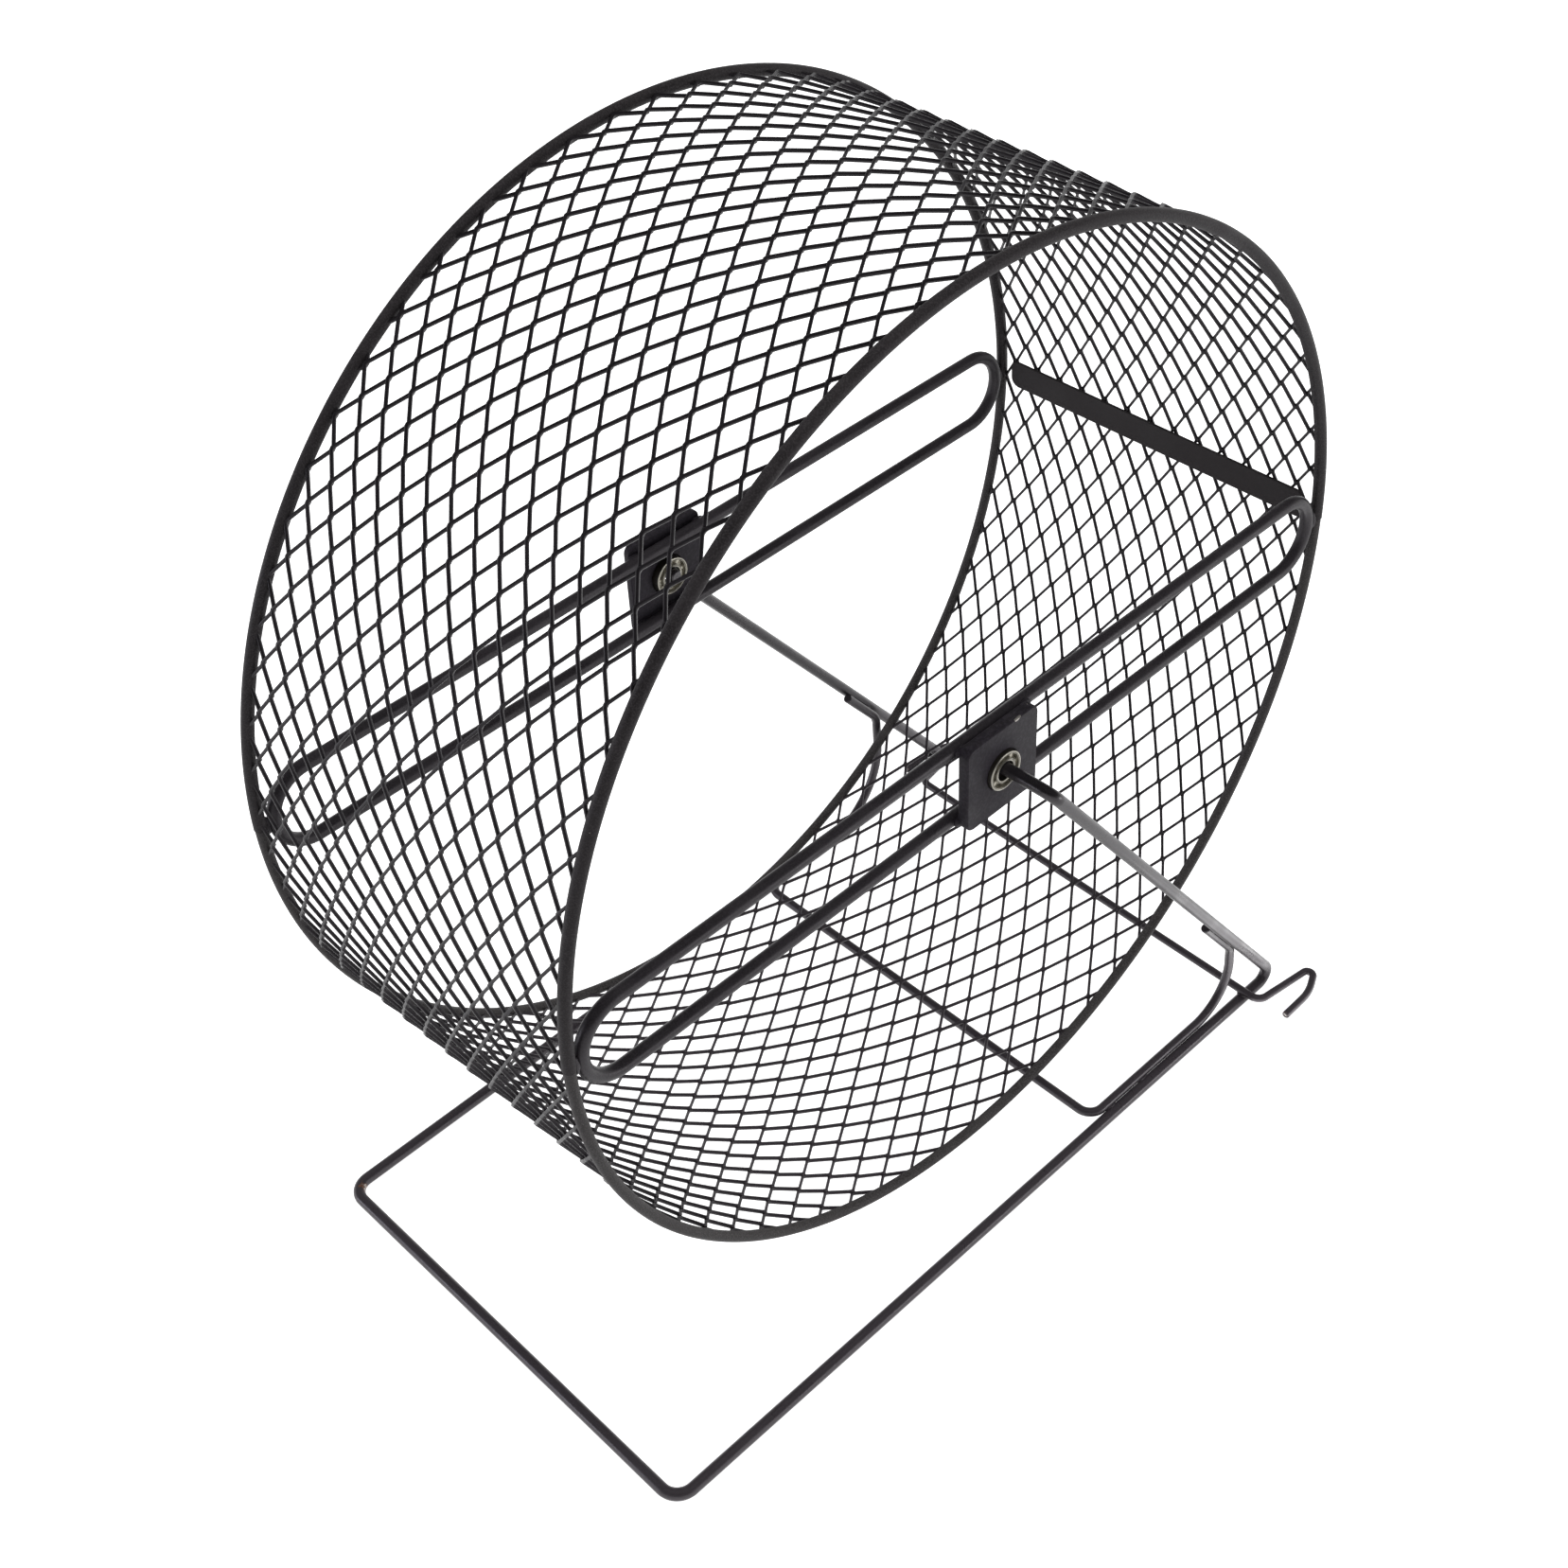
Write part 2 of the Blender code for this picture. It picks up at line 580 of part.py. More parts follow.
def bearing_balls(side_name, middle, train):
    """The balls of one bearing, each a piece of its own."""
    for ball in range(BALL_COUNT):
        form = bmesh.new()
        bmesh.ops.create_icosphere(form, subdivisions=1, radius=BALL_RADIUS)
        name = f"bearing_ball_{side_name}_{ball + 1}"
        made = piece(name, form, train, bright(name))
        made.location = on_drum(middle, BALL_PITCH_RADIUS, 2 * pi * ball / BALL_COUNT)


def bearing_cage(side_name, middle, train):
    """The ribbon cage: it swells round each ball, and each ball has a window in it."""
    steps = BALL_COUNT * CAGE_STEPS_PER_BALL
    inner = BALL_PITCH_RADIUS - CAGE_THICKNESS / 2
    outer = BALL_PITCH_RADIUS + CAGE_THICKNESS / 2
    pocket = BALL_RADIUS + BALL_PLAY
    swell = pocket + CAGE_WALL
    waist = CAGE_WAIST / 2
    form = bmesh.new()
    rings = []
    for step in range(steps):
        angle = 2 * pi * step / steps
        half = waist + (swell - waist) * (1 + cos(BALL_COUNT * angle)) / 2
        section = ((-half, inner), (half, inner), (half, outer), (-half, outer))
        rings.append([form.verts.new(on_drum(middle + x, radius, angle)) for x, radius in section])
    for at in range(steps):
        for side in range(4):
            form.faces.new((rings[at - 1][side - 1], rings[at - 1][side], rings[at][side], rings[at][side - 1]))
    name = "bearing_cage_" + side_name
    cage = piece(name, form, train, bright(name, CAGE_STEEL))
    windows = bmesh.new()
    turns = [2 * pi * (side + 0.5) / POCKET_SIDES for side in range(POCKET_SIDES)]
    corner = pocket / cos(pi / POCKET_SIDES)
    for ball in range(BALL_COUNT):
        angle = 2 * pi * ball / BALL_COUNT
        forwards = Vector((0, sin(angle), cos(angle)))
        ends = []
        for radius in (inner - OVERRUN, outer + OVERRUN):
            centre = on_drum(middle, radius, angle)
            along = Vector((corner, 0, 0))
            ends.append([windows.verts.new(centre + along * cos(t) + forwards * corner * sin(t)) for t in turns])
        for at in range(POCKET_SIDES):
            windows.faces.new((ends[0][at - 1], ends[0][at], ends[1][at], ends[1][at - 1]))
        for end in ends:
            windows.faces.new(end)
    cut(cage, piece(name + "_windows", windows, train, bright(name + "_windows"), smooth=False))


def bearings(wheel, inner_body, train):
    """Both open ball bearings."""
    for side_name, middle in (("right", RIGHT_BEARING_X), ("left", LEFT_BEARING_X)):
        bearing_rings(side_name, middle, wheel, inner_body)
        bearing_balls(side_name, middle, train)
        bearing_cage(side_name, middle, train)


def main():
    clear_scene()
    points = stand_points()
    root = empty("hamster_wheel", None, middle(points))
    axle = (-WHEEL_OFFSET, 0, WHEEL_HEIGHT)
    inner_body = empty("inner_rings_axis", root, axle)
    train = empty("ball_train_axis", root, axle)
    wheel = empty("wheel_axis", root, axle)
    stand_wire(root, points)
    brace_wire(root)
    hook_wire(root)
    rims(wheel)
    mesh_band(wheel)
    seam_strip(wheel)
    spoke_loops(wheel)
    hub_plates(wheel)
    bearings(wheel, inner_body, train)


main()
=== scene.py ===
"""The looks of a hamster wheel: a running drum of expanded metal on two open ball bearings, held by a
bent wire stand with a brace and two cage hooks. Lengths are metres, +Z is up and the front is -Y."""

from math import asin, atan2, ceil, cos, exp, hypot, pi, radians, sin, sqrt, tan

import bmesh
import bpy
import numpy as np
from bpy.props import FloatProperty, FloatVectorProperty, IntProperty, PointerProperty
from bpy.types import Operator, Panel, PropertyGroup
from mathutils import Matrix, Vector


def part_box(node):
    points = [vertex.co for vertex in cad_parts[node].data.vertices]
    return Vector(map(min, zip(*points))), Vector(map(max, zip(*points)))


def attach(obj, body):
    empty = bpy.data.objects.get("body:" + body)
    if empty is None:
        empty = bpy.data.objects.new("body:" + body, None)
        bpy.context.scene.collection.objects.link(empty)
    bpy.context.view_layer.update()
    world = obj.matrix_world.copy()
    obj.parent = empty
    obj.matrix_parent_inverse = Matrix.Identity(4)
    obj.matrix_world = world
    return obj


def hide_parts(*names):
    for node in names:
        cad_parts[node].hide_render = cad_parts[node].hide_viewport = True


bl_info = {
    "name": "Hamster wheel",
    "version": (1, 0, 0),
    "blender": (4, 5, 0),
    "location": "3D View > Sidebar > Hamster wheel",
    "description": "Builds the pieces, the finishes and the studio of a hamster wheel around its frame",
    "category": "Add Mesh",
}

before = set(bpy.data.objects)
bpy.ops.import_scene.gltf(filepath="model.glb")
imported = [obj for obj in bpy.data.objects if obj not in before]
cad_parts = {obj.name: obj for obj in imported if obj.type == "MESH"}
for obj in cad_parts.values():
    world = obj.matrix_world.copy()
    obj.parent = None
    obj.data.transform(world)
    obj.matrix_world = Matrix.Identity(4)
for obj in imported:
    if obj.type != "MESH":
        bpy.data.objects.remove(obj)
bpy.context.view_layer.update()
MM = 0.001

# Places that the frame gives
STAND_LOW, STAND_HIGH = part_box("stand_wire")
RIM_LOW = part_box("rim_upper_left")[0]
RIM_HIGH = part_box("rim_upper_right")[1]
DRUM_X = (RIM_LOW.x + RIM_HIGH.x) / 2
DRUM_WIDTH = RIM_HIGH.x - RIM_LOW.x
RING_LOW, RING_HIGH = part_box("bearing_outer_ring_right")
AXLE = Vector((DRUM_X, (RING_LOW.y + RING_HIGH.y) / 2, (RING_LOW.z + RING_HIGH.z) / 2))
STAND_MIDDLE = Vector(((STAND_LOW.x + STAND_HIGH.x) / 2, AXLE.y, 0))
# The frame's wires have this many sides and lie on a flat one, so their middle is lower than a round wire's
FRAME_SIDES = 10

# How finely round forms are made
STAND_SIDES = 24
THIN_SIDES = 16
RIM_STEPS = 150
LOOP_END_STEPS = 28
RING_STEPS = 72
CORNER_STEPS = 8
WELD_STEPS = 8
WELD_SIDES = 14
BALL_STEPS = 14
BALL_SIDES = 24
POCKET_STEPS = 24
BEND_STEP = radians(6)

SIDES = {"right": 1, "left": -1}
# Between neighbours that are welded, pressed or run together
GAP = 0.06 * MM


def length(name, millimetres, description):
    """A size that a user may change."""
    return FloatProperty(
        name=name, description=description, default=millimetres * MM,
        precision=4, unit="LENGTH", subtype="DISTANCE",
    )


def colour(name, value, description):
    """A colour that a user may change."""
    return FloatVectorProperty(
        name=name, description=description, default=value, size=3, min=0, max=1, subtype="COLOR"
    )


class StandSizes(PropertyGroup):
    """Sizes of the stand, its brace and its hooks."""

    wire: length("Stand wire", 3.75, "Thickness of the stand's wire")
    axle_height: length("Axle height", 160.8, "Centre line of the stubs above the floor")
    right_front: length("Right front reach", 151.0, "Axle to the front wire, at the right")
    left_front: length("Left front reach", 146.0, "Axle to the front wire, at the left")
    right_rear: length("Right rear reach", 120.3, "Axle to the rear corner at the right")
    left_rear: length("Left rear reach", 128.5, "Axle to the rear corner at the left")
    stub_bend: length("Stub bend", 3.75, "Bend between an upright and its stub")
    rear_bend: length("Rear bend", 3.8, "Bend between an upright and its base wire")
    front_bend: length("Front bend", 6.0, "Bend of the two front corners")
    right_stub: length("Right stub end", 53.8, "End of the right stub from the stand's middle")
    left_stub: length("Left stub end", 67.3, "End of the left stub from the stand's middle")
    brace_wire: length("Brace wire", 3.0, "Thickness of the brace")
    right_top: length("Right brace top", 50.0, "Height of the brace's blunt end at the right")
    left_top: length("Left brace top", 65.5, "Height of the brace's blunt end at the left")
    right_bend: length("Right brace bend", 29.5, "Height where the brace leaves the upright at the right")
    left_bend: length("Left brace bend", 48.3, "Height where the brace leaves the upright at the left")
    right_foot: length("Right foot bend", 16.0, "Bend from the brace's drop to its base run at the right")
    left_foot: length("Left foot bend", 30.0, "Bend from the brace's drop to its base run at the left")
    right_brace: length("Right brace reach", 29.6, "Axle to the brace's cross bar at the right")
    left_brace: length("Left brace reach", 34.0, "Axle to the brace's cross bar at the left")
    hook_wire: length("Hook wire", 2.6, "Thickness of the hook wire")
    right_hook: length("Right hook reach", 104.1, "Axle to the hook wire's cross bar at the right")
    left_hook: length("Left hook reach", 110.2, "Axle to the hook wire's cross bar at the left")
    hook_spacing: length("Hook spacing", 153.75, "Between the feet of the two hooks")
    hook_shift: length("Hook shift", 6.05, "How far the hook wire is welded on to the right")


class DrumSizes(PropertyGroup):
    """Sizes of the running drum."""

    diameter: length("Diameter", 300.0, "Over the upper rims")
    upper_rim: length("Upper rim", 3.6, "Thickness of the rim beads over the upper half")
    lower_rim: length("Lower rim", 3.2, "Thickness of the rim beads over the lower half")
    strand_width: length("Strand width", 0.95, "Width of a strand of the expanded metal")
    strand_depth: length("Strand depth", 1.03, "Depth of a strand of the expanded metal")
    strand_tilt: length("Strand tilt", 0.34, "How far a strand's left crests stand out of the sheet")
    node_width: FloatProperty(
        name="Node width", description="Width of a strand at its crests against its own", default=1.3
    )
    diamonds: IntProperty(name="Diamonds", description="Diamonds once round the drum", default=65, min=12)
    strands: IntProperty(name="Strands", description="Zigzag strands side by side", default=27, min=3)
    loop_wire: length("Spoke wire", 4.0, "Thickness of the two spoke loops")
    loop_spread: length("Spoke spread", 24.2, "Between the two runs of a loop")
    plate_side: length("Plate length", 28.0, "Length of the hub plates along the spoke wires")
    plate_corner: length("Plate corner", 2.8, "Corner radius of the hub plates")
    strip_corner: length("Strip corner", 3.0, "Corner radius of the seam strip")


class BearingSizes(PropertyGroup):
    """Sizes of both ball bearings."""

    diameter: length("Outside diameter", 12.0, "Over the outer ring")
    bore: length("Bore", 6.0, "Through the inner ring")
    width: length("Width", 4.0, "Width of both rings")
    ring_wall: length("Ring wall", 0.8, "Thickness of a ring beside its race")
    chamfer: length("Chamfer", 0.3, "Edge of the rings")
    ball: length("Ball", 1.58, "Diameter of a ball")
    ribbon: length("Ribbon", 0.2, "Thickness of the cage's sheet")
    ribbon_width: length("Ribbon width", 1.2, "Width of the cage's ribbon")
    balls: IntProperty(name="Balls", description="Balls in each bearing", default=8, min=3)


class FinishColours(PropertyGroup):
    """Colours of the finishes."""

    coat: colour("Powder coat", (0.0098, 0.0085, 0.0102), "Black coat of the mesh and the stand")
    drum_coat: colour("Loop coat", (0.0165, 0.0145, 0.0168), "Black coat of the spoke loops")
    rim_coat: colour("Rim coat", (0.0205, 0.0185, 0.0195), "Black coat of the upper rim beads")
    # Painted light: the lower beads' coat is lighter than the upper beads', standing in for the stronger light
    # low down at the front
    lower_rim_coat: colour("Lower rim coat", (0.037, 0.0345, 0.0345), "Greyer coat of the lower rim beads")
    # Painted light: mesh and stand turn this lighter grey near the floor, standing in for the light the floor
    # throws up on them
    painted_floor_light_coat: colour("Painted floor light", (0.046, 0.0395, 0.0455), "Mesh and stand near the floor, lighter grey as painted floor light")
    plate_coat: colour("Plate coat", (0.0126, 0.0108, 0.0142), "Black coat of the hub plates")
    strip_coat: colour("Strip coat", (0.021, 0.0185, 0.0192), "Black coat of the seam strip")
    dust: colour("Dust", (0.05, 0.046, 0.042), "Pale dust that lies on the coat")
    bare_steel: colour("Bare steel", (0.40, 0.38, 0.35), "Steel where the coat is chipped")
    rust: colour("Rust", (0.19, 0.075, 0.03), "Rust round a chip")
    steel: colour("Bearing steel", (0.39, 0.372, 0.32), "Ground steel of rings and balls")
    cage: colour("Cage steel", (0.74, 0.70, 0.59), "Pressed steel of the ribbon cages")
    # Also painted as shade on the rings' plain cylindrical faces and in their grooves
    oil_and_shade: colour("Old oil and painted shade", (0.018, 0.015, 0.011), "Oil and dirt in the races")


GROUPS = {
    "wheel_stand": StandSizes,
    "wheel_drum": DrumSizes,
    "wheel_bearings": BearingSizes,
    "wheel_finish": FinishColours,
}


class Form:
    """Loops of points joined by faces, with how worn each point is."""

    def __init__(self):
        self.points = []
        self.faces = []
        self.wear = []

    def loop(self, places, wear=0.0):
        """Adds a loop of points, with one wear for all of them or a list of one for each."""
        first = len(self.points)
        self.points += [tuple(place) for place in places]
        self.wear += wear if isinstance(wear, list) else [wear] * (len(self.points) - first)
        return list(range(first, len(self.points)))

    def skin(self, loops, closed=False):
        """Faces between each loop and the next one."""
        pairs = list(zip(loops, loops[1:]))
        if closed:
            pairs.append((loops[-1], loops[0]))
        for near, far in pairs:
            for at in range(len(near)):
                self.faces.append((near[at - 1], near[at], far[at], far[at - 1]))

    def capped(self, loops):
        """Faces between the loops, and a lid over the first and the last of them."""
        self.skin(loops)
        self.faces += [tuple(loops[0]), tuple(loops[-1])]

    def build(self, name, finish, body, nodes, sharp=35):
        """Makes the piece, and has it ride on its body in place of the frame's nodes."""
        old = bpy.data.objects.get(name)
        if old:
            bpy.data.objects.remove(old)
        mesh = bpy.data.meshes.new(name)
        mesh.from_pydata(self.points, [], self.faces)
        outwards = bmesh.new()
        outwards.from_mesh(mesh)
        bmesh.ops.recalc_face_normals(outwards, faces=outwards.faces)
        outwards.to_mesh(mesh)
        outwards.free()
        mesh.attributes.new("wear", "FLOAT", "POINT").data.foreach_set("value", self.wear)
        mesh.shade_smooth()
        mesh.set_sharp_from_angle(angle=radians(sharp))
        mesh.materials.append(finish)
        made = bpy.data.objects.new(name, mesh)
        bpy.context.scene.collection.objects.link(made)
        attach(made, body)
        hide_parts(*nodes)
        return made


def rounded_path(corners, radii):
    """Points along a bent wire: straight between its corners, with an arc at each inner one."""
    points = [corners[0]]
    for before, corner, after, radius in zip(corners, corners[1:], corners[2:], radii):
        way_in = (corner - before).normalized()
        way_out = (after - corner).normalized()
        turn = way_in.angle(way_out)
        axis = way_in.cross(way_out).normalized()
        centre = corner + (way_out - way_in).normalized() * (radius / cos(turn / 2))
        arm = corner - way_in * (radius * tan(turn / 2)) - centre
        steps = ceil(turn / BEND_STEP)
        for step in range(steps + 1):
            points.append(centre + Matrix.Rotation(turn * step / steps, 3, axis) @ arm)
    points.append(corners[-1])
    return points


def directions(points, closed):
    """The way a path runs at each of its points, halved at the bends."""
    count = len(points)
    ways = []
    for at in range(count):
        before = points[at - 1] if at or closed else points[at]
        after = points[(at + 1) % count] if at < count - 1 or closed else points[at]
        way_in = (points[at] - before).normalized()
        way_out = (after - points[at]).normalized()
        ways.append((way_in + way_out).normalized())
    return ways


# The wear of a cut end fades out within this many chamfers
WORN_CHAMFERS = 4


def wire(form, points, radius, count, up=Vector((0, 0, 1)), closed=False, chamfer=0.35 * MM, worn=0.3):
    """A round wire along a path, with its cut ends broken by a small chamfer."""
    ways = directions(points, closed)
    high = (up - ways[0] * up.dot(ways[0])).normalized()
    turns = [2 * pi * (side + 0.5) / count for side in range(count)]
    cut = [(0.0, radius - chamfer, worn), (chamfer, radius, worn), (chamfer * WORN_CHAMFERS, radius, 0.0)]
    last = len(points) - 1
    loops = []
    for at, (point, way) in enumerate(zip(points, ways)):
        if at:
            high = ways[at - 1].rotation_difference(way) @ high
        across = way.cross(high)
        rings = [(0.0, radius, 0.0)]
        if not closed and at in (0, last):
            rings = cut if at == 0 else [(-inset, size, wear) for inset, size, wear in reversed(cut)]
        for inset, size, wear in rings:
            middle = point + way * inset
            loops.append(form.loop([middle + (high * cos(t) + across * sin(t)) * size for t in turns], wear))
    if closed:
        form.skin(loops, closed=True)
    else:
        form.capped(loops)


def full_turn(count):
    """The angles of that many points on a circle."""
    return [2 * pi * step / count for step in range(count)]


# How much a bead of weld swells and shrinks, and where the seeds of each kind start
WELD_UNEVEN = 0.07
SEEDS = {"upright": 0, "base": 7, "hook": 20, "loop": 30, "plate": 50, "rivet": 90}


def lump(form, centre, along, out, size, seed):
    """A bead of weld: a slightly uneven ellipsoid. Size is its reach along, aside and outwards."""
    chance = np.random.default_rng(abs(seed))
    along = along.normalized()
    out = (out - along * out.dot(along)).normalized()
    aside = along.cross(out)
    loops = []
    for step in range(1, WELD_STEPS):
        turn = pi * step / WELD_STEPS
        middle = centre - along * (size[0] * cos(turn))
        places = []
        for t in full_turn(WELD_SIDES):
            bulge = sin(turn) * (1 + WELD_UNEVEN * chance.standard_normal())
            places.append(middle + (aside * (size[1] * cos(t)) + out * (size[2] * sin(t))) * bulge)
        loops.append(form.loop(places))
    form.capped(loops)


def hoop(centre, x, radius, turns):
    """Points of a circle round the axle's direction, x beside its centre."""
    return [centre + Vector((x, radius * cos(t), radius * sin(t))) for t in turns]


def arc(centre, radius, start, end, steps):
    """Points of an arc in a plane, as pairs."""
    turns = [start + (end - start) * step / steps for step in range(steps + 1)]
    return [(centre[0] + radius * cos(t), centre[1] + radius * sin(t)) for t in turns]


def rounded_square(long, wide, corner, between):
    """The outline of a flat piece with rounded corners, with points along its straight sides too."""
    outline = []
    for quarter, (right, top) in enumerate(((1, 1), (-1, 1), (-1, -1), (1, -1))):
        middle = (right * (long / 2 - corner), top * (wide / 2 - corner))
        outline += arc(middle, corner, quarter * pi / 2, (quarter + 1) * pi / 2, CORNER_STEPS)
    filled = []
    for at, point in enumerate(outline):
        after = outline[(at + 1) % len(outline)]
        parts = between if (at + 1) % (CORNER_STEPS + 1) == 0 else 1
        filled += [
            (point[0] + (after[0] - point[0]) * part / parts, point[1] + (after[1] - point[1]) * part / parts)
            for part in range(parts)
        ]
    return filled


def on_drum(x, radius, angle):
    """A point of the drum. The angle starts at the front and runs over the top."""
    return AXLE + Vector((x, -radius * cos(angle), radius * sin(angle)))


# Finishes

FLOAT = "NodeSocketFloat"
VECTOR = "NodeSocketVector"

# The noise values between which each effect sets in
MOTTLE = (0.44, 0.64)
FLECKS = (0.60, 0.78)
CLOUDS = (0.34, 0.68)
RUSTY_EDGE = (0.84, 0.98)
BARE_EDGE = (0.98, 1.06)
BARE_SPECK = (0.775, 0.79)
RUSTY_SPECK = (0.735, 0.775)
DUSTY_SLOPE = (0.15, 1.0)
DUSTY_PATCH = (0.35, 0.75)
STREAKS = (0.3, 0.7)
STAINS = (0.5, 0.72)
# How much the fine grain adds to the orange peel, and one whole speck amount to the specks
FINE_HEIGHT = 0.22
SPECK_SHARE = 0.1
# How fine each pattern is
CLOUDS_PER_METRE = 42.0
BREAKS_PER_METRE = 900.0
PATCHES_PER_METRE = 260.0
STAINS_PER_METRE = 520.0


def new_group(name, inputs, outputs):
    """A shader node group with named sockets, and its two end nodes."""
    old = bpy.data.node_groups.get(name)
    if old:
        return old, None, None
    tree = bpy.data.node_groups.new(name, "ShaderNodeTree")
    for label, kind, default in inputs:
        socket = tree.interface.new_socket(label, in_out="INPUT", socket_type=kind)
        socket.default_value = default
    for label, kind in outputs:
        tree.interface.new_socket(label, in_out="OUTPUT", socket_type=kind)
    return tree, tree.nodes.new("NodeGroupInput"), tree.nodes.new("NodeGroupOutput")


def noise(tree, place, scale, detail, roughness):
    """A noise texture over the given place, at a scale that may be a socket."""
    made = tree.nodes.new("ShaderNodeTexNoise")
    tree.links.new(place, made.inputs["Vector"])
    if isinstance(scale, (int, float)):
        made.inputs["Scale"].default_value = scale
    else:
        tree.links.new(scale, made.inputs["Scale"])
    made.inputs["Detail"].default_value = detail
    made.inputs["Roughness"].default_value = roughness
    return made.outputs["Fac"]


def sums(tree, operation, first, second=None, third=None, clamp=False):
    """One step of arithmetic on sockets and numbers."""
    made = tree.nodes.new("ShaderNodeMath")
    made.operation = operation
    made.use_clamp = clamp
    for socket, value in zip(made.inputs, (first, second, third)):
        if value is None:
            continue
        if isinstance(value, (int, float)):
            socket.default_value = value
        else:
            tree.links.new(value, socket)
    return made.outputs[0]


def spread(tree, value, low, high, to_low=0.0, to_high=1.0):
    """Maps a stretch of values to another one, smoothly and within its ends."""
    made = tree.nodes.new("ShaderNodeMapRange")
    made.interpolation_type = "SMOOTHSTEP"
    tree.links.new(value, made.inputs["Value"])
    for label, number in (("From Min", low), ("From Max", high), ("To Min", to_low), ("To Max", to_high)):
        made.inputs[label].default_value = number
    return made.outputs["Result"]


def parts_of(tree, value):
    """The X, Y and Z of a vector."""
    made = tree.nodes.new("ShaderNodeSeparateXYZ")
    tree.links.new(value, made.inputs[0])
    return made.outputs


def wear_and_shade_of(tree):
    """How worn each point of the piece is."""
    made = tree.nodes.new("ShaderNodeAttribute")
    made.attribute_name = "wear"
    return made.outputs["Fac"]


def powder_grain():
    """The orange peel of a powder coat, with flecks, mottle and slow changes of gloss."""
    tree, start, end = new_group(
        "Powder grain",
        [("Place", VECTOR, (0, 0, 0)), ("Peel per metre", FLOAT, 1400.0), ("Fleck per metre", FLOAT, 5200.0)],
        [("Height", FLOAT), ("Fleck", FLOAT), ("Cloud", FLOAT), ("Mottle", FLOAT)],
    )
    if not start:
        return tree
    place = start.outputs["Place"]
    peel = noise(tree, place, start.outputs["Peel per metre"], detail=2.0, roughness=0.5)
    fine = noise(tree, place, start.outputs["Fleck per metre"], detail=3.0, roughness=0.6)
    cloud = noise(tree, place, CLOUDS_PER_METRE, detail=4.0, roughness=0.6)
    tree.links.new(sums(tree, "MULTIPLY_ADD", fine, FINE_HEIGHT, peel), end.inputs["Height"])
    tree.links.new(spread(tree, peel, *MOTTLE), end.inputs["Mottle"])
    tree.links.new(spread(tree, fine, *FLECKS), end.inputs["Fleck"])
    tree.links.new(spread(tree, cloud, *CLOUDS), end.inputs["Cloud"])
    return tree


def chipped_coat():
    """Where the coat is rubbed or chipped: along worn edges, and in a few scattered specks."""
    tree, start, end = new_group(
        "Chipped coat",
        [
            ("Place", VECTOR, (0, 0, 0)),
            ("Edge amount", FLOAT, 0.5),
            ("Speck amount", FLOAT, 0.1),
            ("Speck per metre", FLOAT, 420.0),
        ],
        [("Mask", FLOAT), ("Rim", FLOAT)],
    )
    if not start:
        return tree
    place = start.outputs["Place"]
    edge = sums(tree, "MULTIPLY", wear_and_shade_of(tree), start.outputs["Edge amount"])
    edge = sums(tree, "ADD", edge, noise(tree, place, BREAKS_PER_METRE, detail=4.0, roughness=0.65))
    speck = noise(tree, place, start.outputs["Speck per metre"], detail=4.0, roughness=0.62)
    speck = sums(tree, "ADD", speck, sums(tree, "MULTIPLY", start.outputs["Speck amount"], SPECK_SHARE))
    for label, edge_ends, speck_ends in (("Mask", BARE_EDGE, BARE_SPECK), ("Rim", RUSTY_EDGE, RUSTY_SPECK)):
        share = sums(tree, "MAXIMUM", spread(tree, edge, *edge_ends), spread(tree, speck, *speck_ends))
        tree.links.new(share, end.inputs[label])
    return tree


def settled_dust():
    """Dust that lies thinly on what faces up."""
    tree, start, end = new_group(
        "Settled dust", [("Place", VECTOR, (0, 0, 0)), ("Amount", FLOAT, 0.3)], [("Mask", FLOAT)]
    )
    if not start:
        return tree
    facing = tree.nodes.new("ShaderNodeNewGeometry")
    upwards = spread(tree, parts_of(tree, facing.outputs["Normal"])["Z"], *DUSTY_SLOPE)
    patches = noise(tree, start.outputs["Place"], PATCHES_PER_METRE, detail=5.0, roughness=0.65)
    mask = sums(tree, "MULTIPLY", upwards, spread(tree, patches, *DUSTY_PATCH))
    tree.links.new(sums(tree, "MULTIPLY", mask, start.outputs["Amount"]), end.inputs["Mask"])
    return tree


def turned_marks():
    """Fine rings left by grinding round the axle, with stains."""
    tree, start, end = new_group(
        "Turned marks",
        [("Place", VECTOR, (0, 0, 0)), ("Marks per metre", FLOAT, 9000.0)],
        [("Height", FLOAT), ("Streak", FLOAT), ("Stain", FLOAT)],
    )
    if not start:
        return tree
    parts = parts_of(tree, start.outputs["Place"])
    squares = [sums(tree, "POWER", parts[label], 2.0) for label in "YZ"]
    line = tree.nodes.new("ShaderNodeCombineXYZ")
    tree.links.new(sums(tree, "SQRT", sums(tree, "ADD", *squares)), line.inputs["X"])
    tree.links.new(parts["X"], line.inputs["Y"])
    streak = noise(tree, line.outputs[0], start.outputs["Marks per metre"], detail=3.0, roughness=0.6)
    stain = noise(tree, start.outputs["Place"], STAINS_PER_METRE, detail=5.0, roughness=0.6)
    tree.links.new(streak, end.inputs["Height"])
    tree.links.new(spread(tree, streak, *STREAKS), end.inputs["Streak"])
    tree.links.new(spread(tree, stain, *STAINS), end.inputs["Stain"])
    return tree


def placed(tree, group, place, **values):
    """A node group in a material, with its own values."""
    made = tree.nodes.new("ShaderNodeGroup")
    made.node_tree = group
    tree.links.new(place, made.inputs["Place"])
    for label, value in values.items():
        made.inputs[label.replace("_", " ")].default_value = value
    return made.outputs


